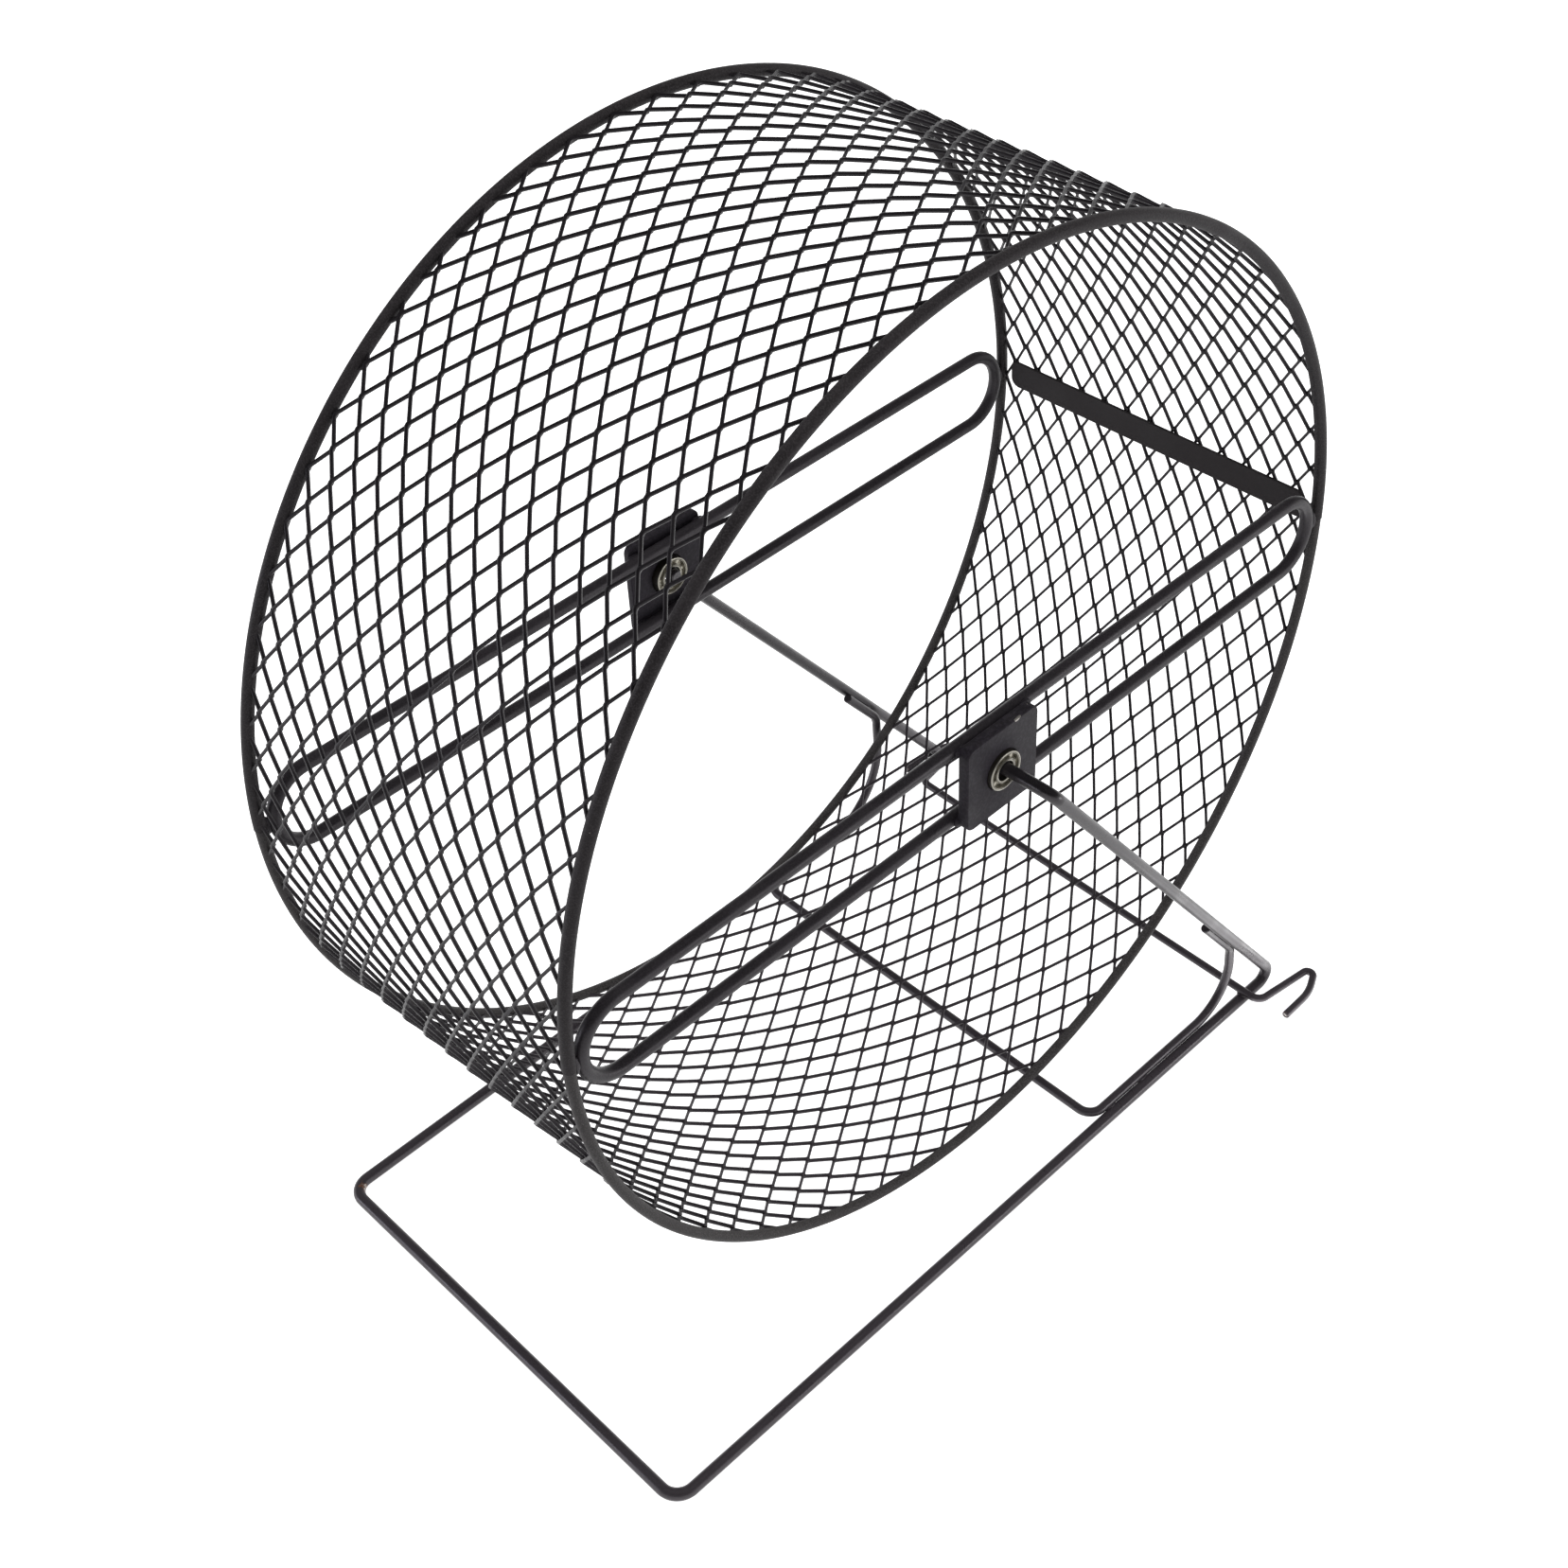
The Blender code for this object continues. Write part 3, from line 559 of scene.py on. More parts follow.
def mixed(tree, share, below, above):
    """Two colours mixed by a share. Each may be a socket or a colour."""
    made = tree.nodes.new("ShaderNodeMix")
    made.data_type = "RGBA"
    tree.links.new(share, made.inputs["Factor"])
    for label, value in (("A", below), ("B", above)):
        socket = [one for one in made.inputs if one.name == label and one.type == "RGBA"][0]
        if isinstance(value, tuple):
            socket.default_value = (*value, 1)
        else:
            tree.links.new(value, socket)
    return [one for one in made.outputs if one.type == "RGBA"][0]


def times(value, factor):
    """A colour made lighter or darker."""
    return tuple(part * factor for part in value)


def new_finish(name):
    """A material with its shader, and the place on the piece that its textures use."""
    old = bpy.data.materials.get(name)
    if old:
        bpy.data.materials.remove(old)
    made = bpy.data.materials.new(name)
    made.use_nodes = True
    tree = made.node_tree
    place = tree.nodes.new("ShaderNodeTexCoord").outputs["Object"]
    return made, tree, tree.nodes["Principled BSDF"], place


def raise_surface(tree, shader, height, strength, depth):
    """Feeds a height to the shader's normal."""
    bump = tree.nodes.new("ShaderNodeBump")
    bump.inputs["Strength"].default_value = strength
    bump.inputs["Distance"].default_value = depth
    tree.links.new(height, bump.inputs["Height"])
    tree.links.new(bump.outputs["Normal"], shader.inputs["Normal"])


# The tint of the coat's gloss
COAT_TINT = (1.0, 0.95, 1.0, 1.0)
# A low coat takes none of the painted floor light at the first of these heights and all of it at the second
PAINTED_FLOOR_LIGHT = (0.075, 0.012)
# How many times lighter than the coat its clouds, its mottle and its flecks are, and how full the flecks
CLOUD_LIGHTER = 1.5
MOTTLE_LIGHTER = 2.6
FLECK_LIGHTER = 3.2
FLECK_SHARE = 0.35
# What clouds, dust and bare steel change in the roughness, and how deep chips are against the orange peel
CLOUD_ROUGHNESS = (-0.05, 0.07)
DUST_ROUGHNESS = 0.35
BARE_ROUGHNESS = -0.06
CHIP_HEIGHT = -1.2
PEEL_DEPTH = 0.05 * MM


def powder_coat(
    name, coat, roughness=0.36, peel=1400.0, bump=0.5, dust=0.06, edges=0.3, specks=0.1,
    rust=0.0, gloss_level=0.3, mottle=0.0, low=False,
):
    """Black powder coat on steel: orange peel, flecks, dust, scuffs, rubbed edges and small chips."""
    colours = bpy.context.scene.wheel_finish
    base = tuple(getattr(colours, coat))
    made, tree, shader, place = new_finish(name)
    grain = placed(tree, powder_grain(), place, Peel_per_metre=peel)
    chips = placed(tree, chipped_coat(), place, Edge_amount=edges, Speck_amount=specks)
    lying = placed(tree, settled_dust(), place, Amount=dust)
    shader.inputs["Specular IOR Level"].default_value = gloss_level
    shader.inputs["Specular Tint"].default_value = COAT_TINT
    body = mixed(tree, grain["Cloud"], base, times(base, CLOUD_LIGHTER))
    # Painted light: low pieces turn lighter towards the floor, standing in for the light from it
    if low:
        body = mixed(tree, spread(tree, parts_of(tree, place)["Z"], *PAINTED_FLOOR_LIGHT), body, tuple(colours.painted_floor_light_coat))
    if mottle:
        body = mixed(tree, sums(tree, "MULTIPLY", grain["Mottle"], mottle), body, times(base, MOTTLE_LIGHTER))
    body = mixed(tree, sums(tree, "MULTIPLY", grain["Fleck"], FLECK_SHARE), body, times(base, FLECK_LIGHTER))
    body = mixed(tree, lying["Mask"], body, tuple(colours.dust))
    body = mixed(tree, sums(tree, "MULTIPLY", chips["Rim"], rust), body, tuple(colours.rust))
    body = mixed(tree, chips["Mask"], body, tuple(colours.bare_steel))
    tree.links.new(body, shader.inputs["Base Color"])
    gloss = spread(tree, grain["Cloud"], 0.0, 1.0, *(roughness + change for change in CLOUD_ROUGHNESS))
    gloss = sums(tree, "MULTIPLY_ADD", lying["Mask"], DUST_ROUGHNESS, gloss)
    gloss = sums(tree, "MULTIPLY_ADD", chips["Mask"], BARE_ROUGHNESS, gloss, clamp=True)
    tree.links.new(gloss, shader.inputs["Roughness"])
    tree.links.new(chips["Mask"], shader.inputs["Metallic"])
    height = sums(tree, "MULTIPLY_ADD", chips["Mask"], CHIP_HEIGHT, grain["Height"])
    raise_surface(tree, shader, height, bump, PEEL_DEPTH)
    return made


# How dark the streaks are, and what streaks, oil and painted shade change in the roughness and the metal
STREAK_DARKER = 0.82
STREAK_ROUGHNESS = 0.1
OIL_AND_SHADE_ROUGHNESS = 0.2
OIL_AND_SHADE_METAL = -0.7
MARK_STRENGTH = 0.35
MARK_DEPTH = 0.01 * MM


def bearing_steel(name, steel, roughness=0.22, dirt=0.3, marks=9000.0, metal=1.0):
    """Ground bearing steel with turning marks, and with old oil in the stained and the worn places."""
    colours = bpy.context.scene.wheel_finish
    base = tuple(getattr(colours, steel))
    made, tree, shader, place = new_finish(name)
    about = tree.nodes.new("ShaderNodeVectorMath")
    about.operation = "SUBTRACT"
    about.inputs[1].default_value = AXLE
    tree.links.new(place, about.inputs[0])
    ground = placed(tree, turned_marks(), about.outputs[0], Marks_per_metre=marks)
    body = mixed(tree, ground["Streak"], times(base, STREAK_DARKER), base)
    stain = sums(tree, "MULTIPLY", ground["Stain"], dirt)
    # Each ring point's value paints oil in its races and painted shade on its plain face and in its groove
    stain = sums(tree, "MAXIMUM", stain, wear_and_shade_of(tree))
    tree.links.new(mixed(tree, stain, body, tuple(colours.oil_and_shade)), shader.inputs["Base Color"])
    gloss = spread(tree, ground["Streak"], 0.0, 1.0, roughness, roughness + STREAK_ROUGHNESS)
    gloss = sums(tree, "MULTIPLY_ADD", stain, OIL_AND_SHADE_ROUGHNESS, gloss, clamp=True)
    tree.links.new(gloss, shader.inputs["Roughness"])
    tree.links.new(sums(tree, "MULTIPLY_ADD", stain, OIL_AND_SHADE_METAL * metal, metal), shader.inputs["Metallic"])
    raise_surface(tree, shader, ground["Height"], MARK_STRENGTH, MARK_DEPTH)
    return made


# Stand

# What the coats of the stand's three wires share, with the painted floor light that low brings
STAND_COAT = {"roughness": 0.3, "specks": 0.05, "low": True}
# The coat is rubbed through inside the left front bend, this far round and this much
RUB_REACH = 2.6 * MM
RUB_DEPTH = 1.1
RUB_HEIGHT = 0.7
# The brace lies beside an upright at this lean, and its drop runs back by a little
BRACE_LEAN = radians(37.5)
BRACE_DROP_RUN = 1.5 * MM
BRACE_TOP_BEND = 8 * MM
BRACE_CORNER_BEND = 5 * MM
# Welds of the brace: below its top, above its bend, and behind its cross bar
WELD_BELOW_TOP = 3 * MM
WELD_ABOVE_BEND = 4.5 * MM
WELDS_BEHIND_BAR = (8.0 * MM, 24.0 * MM)
UPRIGHT_WELD = (2.2 * MM, 0.95 * MM, 0.75 * MM)
BASE_WELD = (2.4 * MM, 0.95 * MM, 0.75 * MM)
HOOK_WELD = (1.9 * MM, 1.5 * MM, 0.8 * MM)
# Corners of a hook in millimetres out, to the rear and down from its foot, and its bends
HOOK_PLACES = ((9.4, 1.4, 1.0), (9.4, 14.5, 0.5), (3.9, 26.4, 0.0), (0.0, 0.0, 0.0))
HOOK_BENDS = (18 * MM, 1.8 * MM, 3.6 * MM)


def base_height(sizes):
    """The height of the base wires' centre lines."""
    return sizes.wire / 2 * cos(pi / FRAME_SIDES)


def stand_x():
    """The base wires' centre lines from the stand's middle."""
    return (STAND_HIGH.x - STAND_LOW.x - bpy.context.scene.wheel_stand.wire) / 2


def reach_at(x, right, left):
    """How far a wire that lies across the stand is from the axle at x."""
    return left + (right - left) * (x + stand_x()) / (2 * stand_x())


def upright_point(sizes, side, height):
    """A point on an upright's centre line, and the way square to it, down and forwards."""
    reach = sizes.right_rear if side > 0 else sizes.left_rear
    rise = sizes.axle_height - base_height(sizes)
    run = hypot(reach, rise)
    share = (sizes.axle_height - height) / rise
    return Vector((side * stand_x(), reach * share, height)), Vector((0, -rise / run, -reach / run))


def stand_path(sizes):
    """The one bent wire: stub, upright, base, front, base, upright, stub."""
    base = base_height(sizes)
    x = stand_x()
    corners = [
        Vector((-sizes.left_stub, 0, sizes.axle_height)),
        Vector((-x, 0, sizes.axle_height)),
        Vector((-x, sizes.left_rear, base)),
        Vector((-x, -sizes.left_front, base)),
        Vector((x, -sizes.right_front, base)),
        Vector((x, sizes.right_rear, base)),
        Vector((x, 0, sizes.axle_height)),
        Vector((sizes.right_stub, 0, sizes.axle_height)),
    ]
    radii = (sizes.stub_bend, sizes.rear_bend, sizes.front_bend)
    return [STAND_MIDDLE + point for point in rounded_path(corners, radii + radii[::-1])]


def brace_heights(sizes, side):
    """The heights of the brace's blunt end and of the bend where it leaves the upright."""
    return (sizes.right_top, sizes.right_bend) if side > 0 else (sizes.left_top, sizes.left_bend)


def brace_half(sizes, side):
    """One half of the brace, from its blunt end on the upright to its cross bar."""
    reach = (sizes.wire + sizes.brace_wire) / 2 + GAP
    inwards = Vector((-side * reach * cos(BRACE_LEAN), 0, 0))
    beside = reach * sin(BRACE_LEAN)
    ends = []
    for height in brace_heights(sizes, side):
        point, square = upright_point(sizes, side, height)
        ends.append(point + (inwards + square * beside))
    bend = ends[1]
    run = base_height(sizes) + beside
    cross = reach_at(bend.x, sizes.right_brace, sizes.left_brace)
    return [*ends, Vector((bend.x, bend.y + BRACE_DROP_RUN, run)), Vector((bend.x, cross, run))]


def hook_half(sizes, side):
    """One half of the hook wire, from the tip of its hook to the foot of the arm."""
    foot = sizes.hook_shift + side * sizes.hook_spacing / 2
    cross = reach_at(foot, sizes.right_hook, sizes.left_hook)
    height = base_height(sizes) + sizes.wire / 2 + GAP + sizes.hook_wire / 2
    return [
        Vector((foot + side * out * MM, cross + rear * MM, height - drop * MM))
        for out, rear, drop in HOOK_PLACES
    ]


def build_stand(context):
    """The bent wire, with the rubbed spot in its left front bend."""
    sizes = context.scene.wheel_stand
    form = Form()
    wire(form, stand_path(sizes), sizes.wire / 2, STAND_SIDES, worn=0.0)
    inside = sizes.front_bend * (1 - sqrt(0.5)) + sizes.wire / 2 * sqrt(0.5)
    rubbed = STAND_MIDDLE + Vector((inside - stand_x(), inside - sizes.left_front, sizes.wire * RUB_HEIGHT))
    for at, point in enumerate(form.points):
        far = (Vector(point) - rubbed).length / RUB_REACH
        form.wear[at] = max(form.wear[at], RUB_DEPTH * exp(-far * far))
    finish = powder_coat("Stand wire coat", "coat", edges=0.55, rust=0.8, gloss_level=0.6, **STAND_COAT)
    form.build("bent_stand_wire", finish, "stand", ["stand_wire"])


def build_brace(context):
    """The thin wire that ties uprights and base wires, with its welds."""
    sizes = context.scene.wheel_stand
    halves = {side: brace_half(sizes, side) for side in (1, -1)}
    radii = (
        BRACE_TOP_BEND, sizes.right_foot, BRACE_CORNER_BEND,
        BRACE_CORNER_BEND, sizes.left_foot, BRACE_TOP_BEND,
    )
    path = rounded_path(halves[1] + halves[-1][::-1], radii)
    form = Form()
    wire(form, [STAND_MIDDLE + point for point in path], sizes.brace_wire / 2, THIN_SIDES, up=Vector((1, 0, 0)))
    middle = (sizes.wire / 2 + GAP / 2) / ((sizes.wire + sizes.brace_wire) / 2 + GAP)
    for side, half in halves.items():
        high, low = brace_heights(sizes, side)
        for seed, height in enumerate((high - WELD_BELOW_TOP, low + WELD_ABOVE_BEND)):
            upright, square = upright_point(sizes, side, height)
            along = (half[1] - half[0]).normalized()
            beside = half[0] + along * ((upright - half[0]).dot(along))
            centre = STAND_MIDDLE + upright.lerp(beside, middle)
            lump(form, centre, along, beside - upright, UPRIGHT_WELD, SEEDS["upright"] + seed + side)
        for seed, back in enumerate(WELDS_BEHIND_BAR):
            beside = half[3] + Vector((0, back, 0))
            base = Vector((side * stand_x(), beside.y, base_height(sizes)))
            centre = STAND_MIDDLE + base.lerp(beside, middle)
            lump(form, centre, Vector((0, 1, 0)), beside - base, BASE_WELD, SEEDS["base"] + seed + side)
    finish = powder_coat("Brace coat", "coat", edges=0.5, gloss_level=0.6, **STAND_COAT)
    form.build("brace_wire_with_welds", finish, "stand", ["brace_wire"])


def build_hooks(context):
    """The thin wire across the rear that ends in two hooks, with its welds."""
    sizes = context.scene.wheel_stand
    path = rounded_path(hook_half(sizes, 1) + hook_half(sizes, -1)[::-1], HOOK_BENDS + HOOK_BENDS[::-1])
    form = Form()
    wire(form, [STAND_MIDDLE + point for point in path], sizes.hook_wire / 2, THIN_SIDES, worn=0.85)
    top = base_height(sizes) + sizes.wire / 2
    for side in (1, -1):
        cross = reach_at(side * stand_x(), sizes.right_hook, sizes.left_hook)
        centre = STAND_MIDDLE + Vector((side * stand_x(), cross, top + GAP / 2))
        lump(form, centre, Vector((1, 0, 0)), Vector((0, 0, 1)), HOOK_WELD, SEEDS["hook"] + side)
    finish = powder_coat("Hook coat", "coat", edges=0.5, rust=0.12, gloss_level=0.5, **STAND_COAT)
    form.build("hook_wire_with_welds", finish, "stand", ["hook_wire"])


# Drum

# One wave of a strand: shares of the wave, and how far out the strand is there
WAVE = ((0.022, 0.98), (0.065, 0.80), (0.435, -0.80), (0.478, -0.98))
CREST_LEVEL = 0.9
# The sheet was rolled a little askew: round the drum its rows drift sideways by this many strands,
# and the drift (millimetres) and the spacing (waves) sway by these shares of cosine and sine
DRIFT_STRANDS = 4
DRIFT_START = -7.57
DRIFT_SWAY = ((-0.57, -0.82), (-0.85, -0.77), (-0.16, -0.28))
SPACING_START = -0.435
SPACING_SWAY = ((-0.046, -0.13), (-0.011, -0.043), (-0.069, 0.013))
SPACING_SKEW = -0.094
SEAM_ANGLE = radians(178.75)
# A crest's middle stays this share of a strand's width short of the line where two strands meet, and
# crests vary by this much
CREST_BOND = 0.165
CREST_VARY = 0.04 * MM
CREST_SEED = 11
# A strand's section: shares of half its width and half its depth
STRAND_SECTION = ((1.0, 0.0), (0.62, 0.96), (-0.62, 0.96), (-1.0, 0.0), (-0.62, -0.96), (0.62, -0.96))
# A crest may reach this far past the middle of the bead and still be hidden in it
STRAND_SLACK = 0.6 * MM

# Half the gap between an upper and a lower bead, and the broken edge of their ends
BEAD_END_GAP = 0.03 * MM
BEAD_CHAMFER = 0.1 * MM
# The lower beads get the lighter coat, which is painted light
RIM_COATS = {"upper": "rim_coat", "lower": "lower_rim_coat"}

STRIP_HEIGHT = 9.3 * MM
STRIP_THICKNESS = 1.0 * MM
STRIP_LEAST_CORNER = 0.3 * MM
STRIP_PARTS = 24
# The edges of the strip, the plates and their bores as loops: how far from the edge in millimetres,
# the level between the two faces, and the wear
STRIP_EDGE = ((1.0, -1.0, 0), (0.22, -1.0, 1), (0.0, -0.6, 1), (0.0, 0.6, 1), (0.22, 1.0, 1), (1.0, 1.0, 0))
PLATE_EDGE = (
    (1.2, -1.0, 0.0), (0.35, -1.0, 0.6), (0.05, -0.82, 1.0), (0.0, -0.5, 0.3),
    (0.0, 0.5, 0.3), (0.05, 0.82, 1.0), (0.35, 1.0, 0.6), (1.2, 1.0, 0.0),
)
BORE_EDGE = (
    (1.0, 1.0, 0.0), (0.25, 1.0, 0.7), (0.0, 0.8, 0.7),
    (0.0, -0.8, 0.7), (0.25, -1.0, 0.7), (1.0, -1.0, 0.0),
)
PLATE_LEAST_CORNER = 0.4 * MM
PLATE_PARTS = 12
# The right plate has one small chip in its upper edge, this far behind the axle, on these of its loops
CHIP_PLACE = 6.0 * MM
CHIP_DEPTH = 4.0
CHIP_LOOPS = PLATE_EDGE[5:7]
# Welds between the loops' ends and the rims, and between the loops' runs and the plates
LOOP_WELD = (3.0 * MM, 1.4 * MM, 1.1 * MM)
LOOP_WELD_OUT = 0.4 * MM
LOOP_WELD_PAST = 0.3 * MM
PLATE_WELD = (2.6 * MM, 1.7 * MM, 0.9 * MM)
PLATE_WELD_IN = 0.3 * MM
PLATE_WELD_REACH = 12.6 * MM


def rim_radius():
    """From the axle to the middle of the rim beads."""
    drum = bpy.context.scene.wheel_drum
    return (drum.diameter - drum.upper_rim) / 2


def rim_x():
    """From the drum's middle to the middle of the rim beads."""
    return (DRUM_WIDTH - bpy.context.scene.wheel_drum.upper_rim) / 2


def swayed(angle, sway):
    """A slow change round the drum, from its cosine and sine parts."""
    return sum(c * np.cos((n + 1) * angle) + s * np.sin((n + 1) * angle) for n, (c, s) in enumerate(sway))


def unit(ways):
    """Directions of length one."""
    return ways / np.linalg.norm(ways, axis=1, keepdims=True)


def build_mesh(context):
    """The expanded metal: zigzag strands side by side, each bonded to the next at its crests.

    A strand that drifts past an edge ends inside the rim bead, and at the seam each strand runs on
    into the one that the drift has brought there.
    """
    drum = context.scene.wheel_drum
    pitch = 2 * rim_x() / drum.strands
    swing = pitch / 2 - CREST_BOND * drum.strand_width
    shares = [share for share, height in WAVE] + [share + 0.5 for share, height in WAVE]
    heights = [height for share, height in WAVE] + [-height for share, height in WAVE]
    per_strand = drum.diamonds * len(shares)
    turn = np.repeat(np.arange(drum.diamonds), len(shares)) + np.tile(shares, drum.diamonds)
    height = np.tile(heights, drum.diamonds)
    chance = np.random.default_rng(CREST_SEED)
    order = np.arange(-2 * DRIFT_STRANDS, drum.strands + 2)
    total = len(order)
    nudge = CREST_VARY * chance.standard_normal((total + 1, 2 * drum.diamonds + 4))
    row = np.arange(total)[:, None]
    share = turn[None, :] + 0.5 * (order[:, None] % 2)
    angle = SEAM_ANGLE + 2 * pi * (share / drum.diamonds)
    crest = np.rint(2 * share).astype(int)
    rest = pitch * (order[:, None] + 0.5) - rim_x() + swing * height[None, :]
    rest = rest + np.where(height[None, :] > 0, nudge[row + 1, crest], nudge[row, crest])
    drift = DRIFT_START + DRIFT_STRANDS * pitch / MM * angle / (2 * pi) + swayed(angle, DRIFT_SWAY)
    x = rest + drift * MM
    spacing = SPACING_START + swayed(angle, SPACING_SWAY) + SPACING_SKEW * x / rim_x()
    angle = angle + 2 * pi * spacing / drum.diamonds
    radius = rim_radius() - drum.strand_tilt * np.broadcast_to(height[None, :], x.shape)
    x, angle, radius = x.ravel(), angle.ravel(), radius.ravel()
    own = np.arange(len(x))
    ahead = own.reshape(total, per_strand) + 1
    ahead[:, -1] = (np.arange(total) + DRIFT_STRANDS) * per_strand
    ahead = ahead.ravel()
    within = np.abs(x) < rim_x()
    inside = np.abs(x) < rim_x() + STRAND_SLACK
    open_end = ahead >= len(x)
    ahead[open_end] = 0
    # A strand that leaves the sheet is cut where it meets the middle of the bead
    for near, far in ((own, ahead), (ahead, own)):
        leaves = within[near] & ~inside[far] & ~open_end
        kept_end, cut_end = near[leaves], far[leaves]
        share_kept = (rim_x() - np.abs(x[kept_end])) / (np.abs(x[cut_end]) - np.abs(x[kept_end]))
        whole = np.rint((angle[kept_end] - angle[cut_end]) / (2 * pi)) * 2 * pi
        for values, turn_over in ((x, 0), (angle, whole), (radius, 0)):
            values[cut_end] = values[kept_end] + (values[cut_end] + turn_over - values[kept_end]) * share_kept
    joined = (within | within[ahead] | (inside & inside[ahead])) & ~open_end
    behind = np.full(len(x), -1)
    behind[ahead[joined]] = np.flatnonzero(joined)
    flat = np.stack([DRUM_X + x, AXLE.y - radius * np.cos(angle), AXLE.z + radius * np.sin(angle)], 1)
    way = flat[np.where(joined, ahead, own)] - flat[np.where(behind >= 0, behind, own)]
    kept = joined | (behind >= 0)
    way[~kept] = (1, 0, 0)
    out = np.stack([0 * x, -np.cos(angle), np.sin(angle)], 1)
    across = unit(np.cross(unit(way), out))
    crests = np.tile(np.abs(height) > CREST_LEVEL, total)
    half_width = (drum.strand_width / 2 * np.where(crests, drum.node_width, 1.0))[:, None]
    half_depth = drum.strand_depth / 2
    rings = np.stack([flat + across * (a * half_width) + out * (b * half_depth) for a, b in STRAND_SECTION], 1)
    count = len(STRAND_SECTION)
    number = np.full(len(flat), -1)
    number[kept] = np.arange(kept.sum())
    base = number[np.flatnonzero(joined)][:, None] * count
    far = number[ahead[joined]][:, None] * count
    side = np.arange(count)[None, :]
    beside = (side + 1) % count
    form = Form()
    form.points = rings[kept].reshape(-1, 3).tolist()
    form.faces = np.stack([base + side, base + beside, far + beside, far + side], 2).reshape(-1, 4).tolist()
    ends = np.flatnonzero(kept & ((behind < 0) | ~joined))
    form.faces += (number[ends][:, None] * count + side).tolist()
    form.wear = [0.0] * len(form.points)
    # The mesh is also lighter near the floor, as painted light
    finish = powder_coat("Mesh coat", "coat", peel=2200.0, dust=0.02, specks=0.05, low=True)
    form.build("running_mesh", finish, "wheel", ["mesh_band"], sharp=75)


def build_rims(context):
    """The beads round both edges of the mesh, each in an upper and a lower half."""
    drum = context.scene.wheel_drum
    for side_name, side in SIDES.items():
        for half, thickness, start in (("upper", drum.upper_rim, 0), ("lower", drum.lower_rim, pi)):
            edge = asin(BEAD_END_GAP / rim_radius())
            steps = [start + edge + (pi - 2 * edge) * step / RIM_STEPS for step in range(RIM_STEPS + 1)]
            path = [on_drum(side * rim_x(), rim_radius(), angle) for angle in steps]
            form = Form()
            wire(form, path, thickness / 2, STAND_SIDES, up=Vector((1, 0, 0)), chamfer=BEAD_CHAMFER, worn=0.0)
            finish = powder_coat(
                f"Rim coat {half} {side_name}", RIM_COATS[half],
                roughness=0.5, peel=2400.0, bump=0.8, gloss_level=0.14, mottle=0.6,
            )
            name = f"rim_bead_{half}_{side_name}"
            form.build(name, finish, "wheel", [f"rim_{half}_{side_name}"])


def build_strip(context):
    """The flat strip inside the drum over the joint of the mesh."""
    low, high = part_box("seam_strip")
    drum = context.scene.wheel_drum
    middle = (low + high) / 2
    reach = (high.x - low.x) / 2
    turn = atan2(middle.z - AXLE.z, middle.y - AXLE.y)
    out = Vector((0, cos(turn), sin(turn)))
    up = Vector((0, -sin(turn), cos(turn)))
    form = Form()
    loops = []
    for inset, level, wear in STRIP_EDGE:
        corner = max(drum.strip_corner - inset * MM, STRIP_LEAST_CORNER)
        half = STRIP_HEIGHT / 2 - inset * MM
        outline = rounded_square(2 * (reach - inset * MM), 2 * half, corner, STRIP_PARTS)
        face = out * (STRIP_THICKNESS / 2 * level)
        loops.append(form.loop([middle + Vector((x, 0, 0)) + up * y + face for x, y in outline], wear))
    form.capped(loops)
    finish = powder_coat("Strip coat", "strip_coat", roughness=0.62, dust=0.05, edges=0.2, gloss_level=0.2)
    form.build("seam_cover_strip", finish, "wheel", ["seam_strip"])


def build_loops(context):
    """One closed wire loop across each side, welded to the rim at both ends."""
    drum = context.scene.wheel_drum
    for side_name, side in SIDES.items():
        low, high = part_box(f"spoke_loop_{side_name}")
        x = (low.x + high.x) / 2
        bend = drum.loop_spread / 2
        tip = (high.y - low.y - drum.loop_wire) / 2
        front = arc((bend - tip, 0), bend, pi / 2, 3 * pi / 2, LOOP_END_STEPS)
        rear = arc((tip - bend, 0), bend, -pi / 2, pi / 2, LOOP_END_STEPS)
        path = [Vector((x, AXLE.y + y, AXLE.z + z)) for y, z in front + rear]
        form = Form()
        wire(form, path, drum.loop_wire / 2, STAND_SIDES, up=Vector((1, 0, 0)), closed=True)
        for way in (-1, 1):
            beyond = way * (tip + drum.loop_wire / 2 + LOOP_WELD_PAST)
            centre = Vector((x + side * LOOP_WELD_OUT, AXLE.y + beyond, AXLE.z))
            lump(form, centre, Vector((0, 0, 1)), Vector((0, 1, 0)), LOOP_WELD, SEEDS["loop"] + way + side)
        finish = powder_coat(
            f"Spoke loop coat {side_name}", "drum_coat",
            roughness=0.42, peel=2400.0, specks=0.2, gloss_level=0.34, mottle=0.35,
        )
        name = f"spoke_wire_loop_{side_name}"
        form.build(name, finish, "wheel", [f"spoke_loop_{side_name}"])


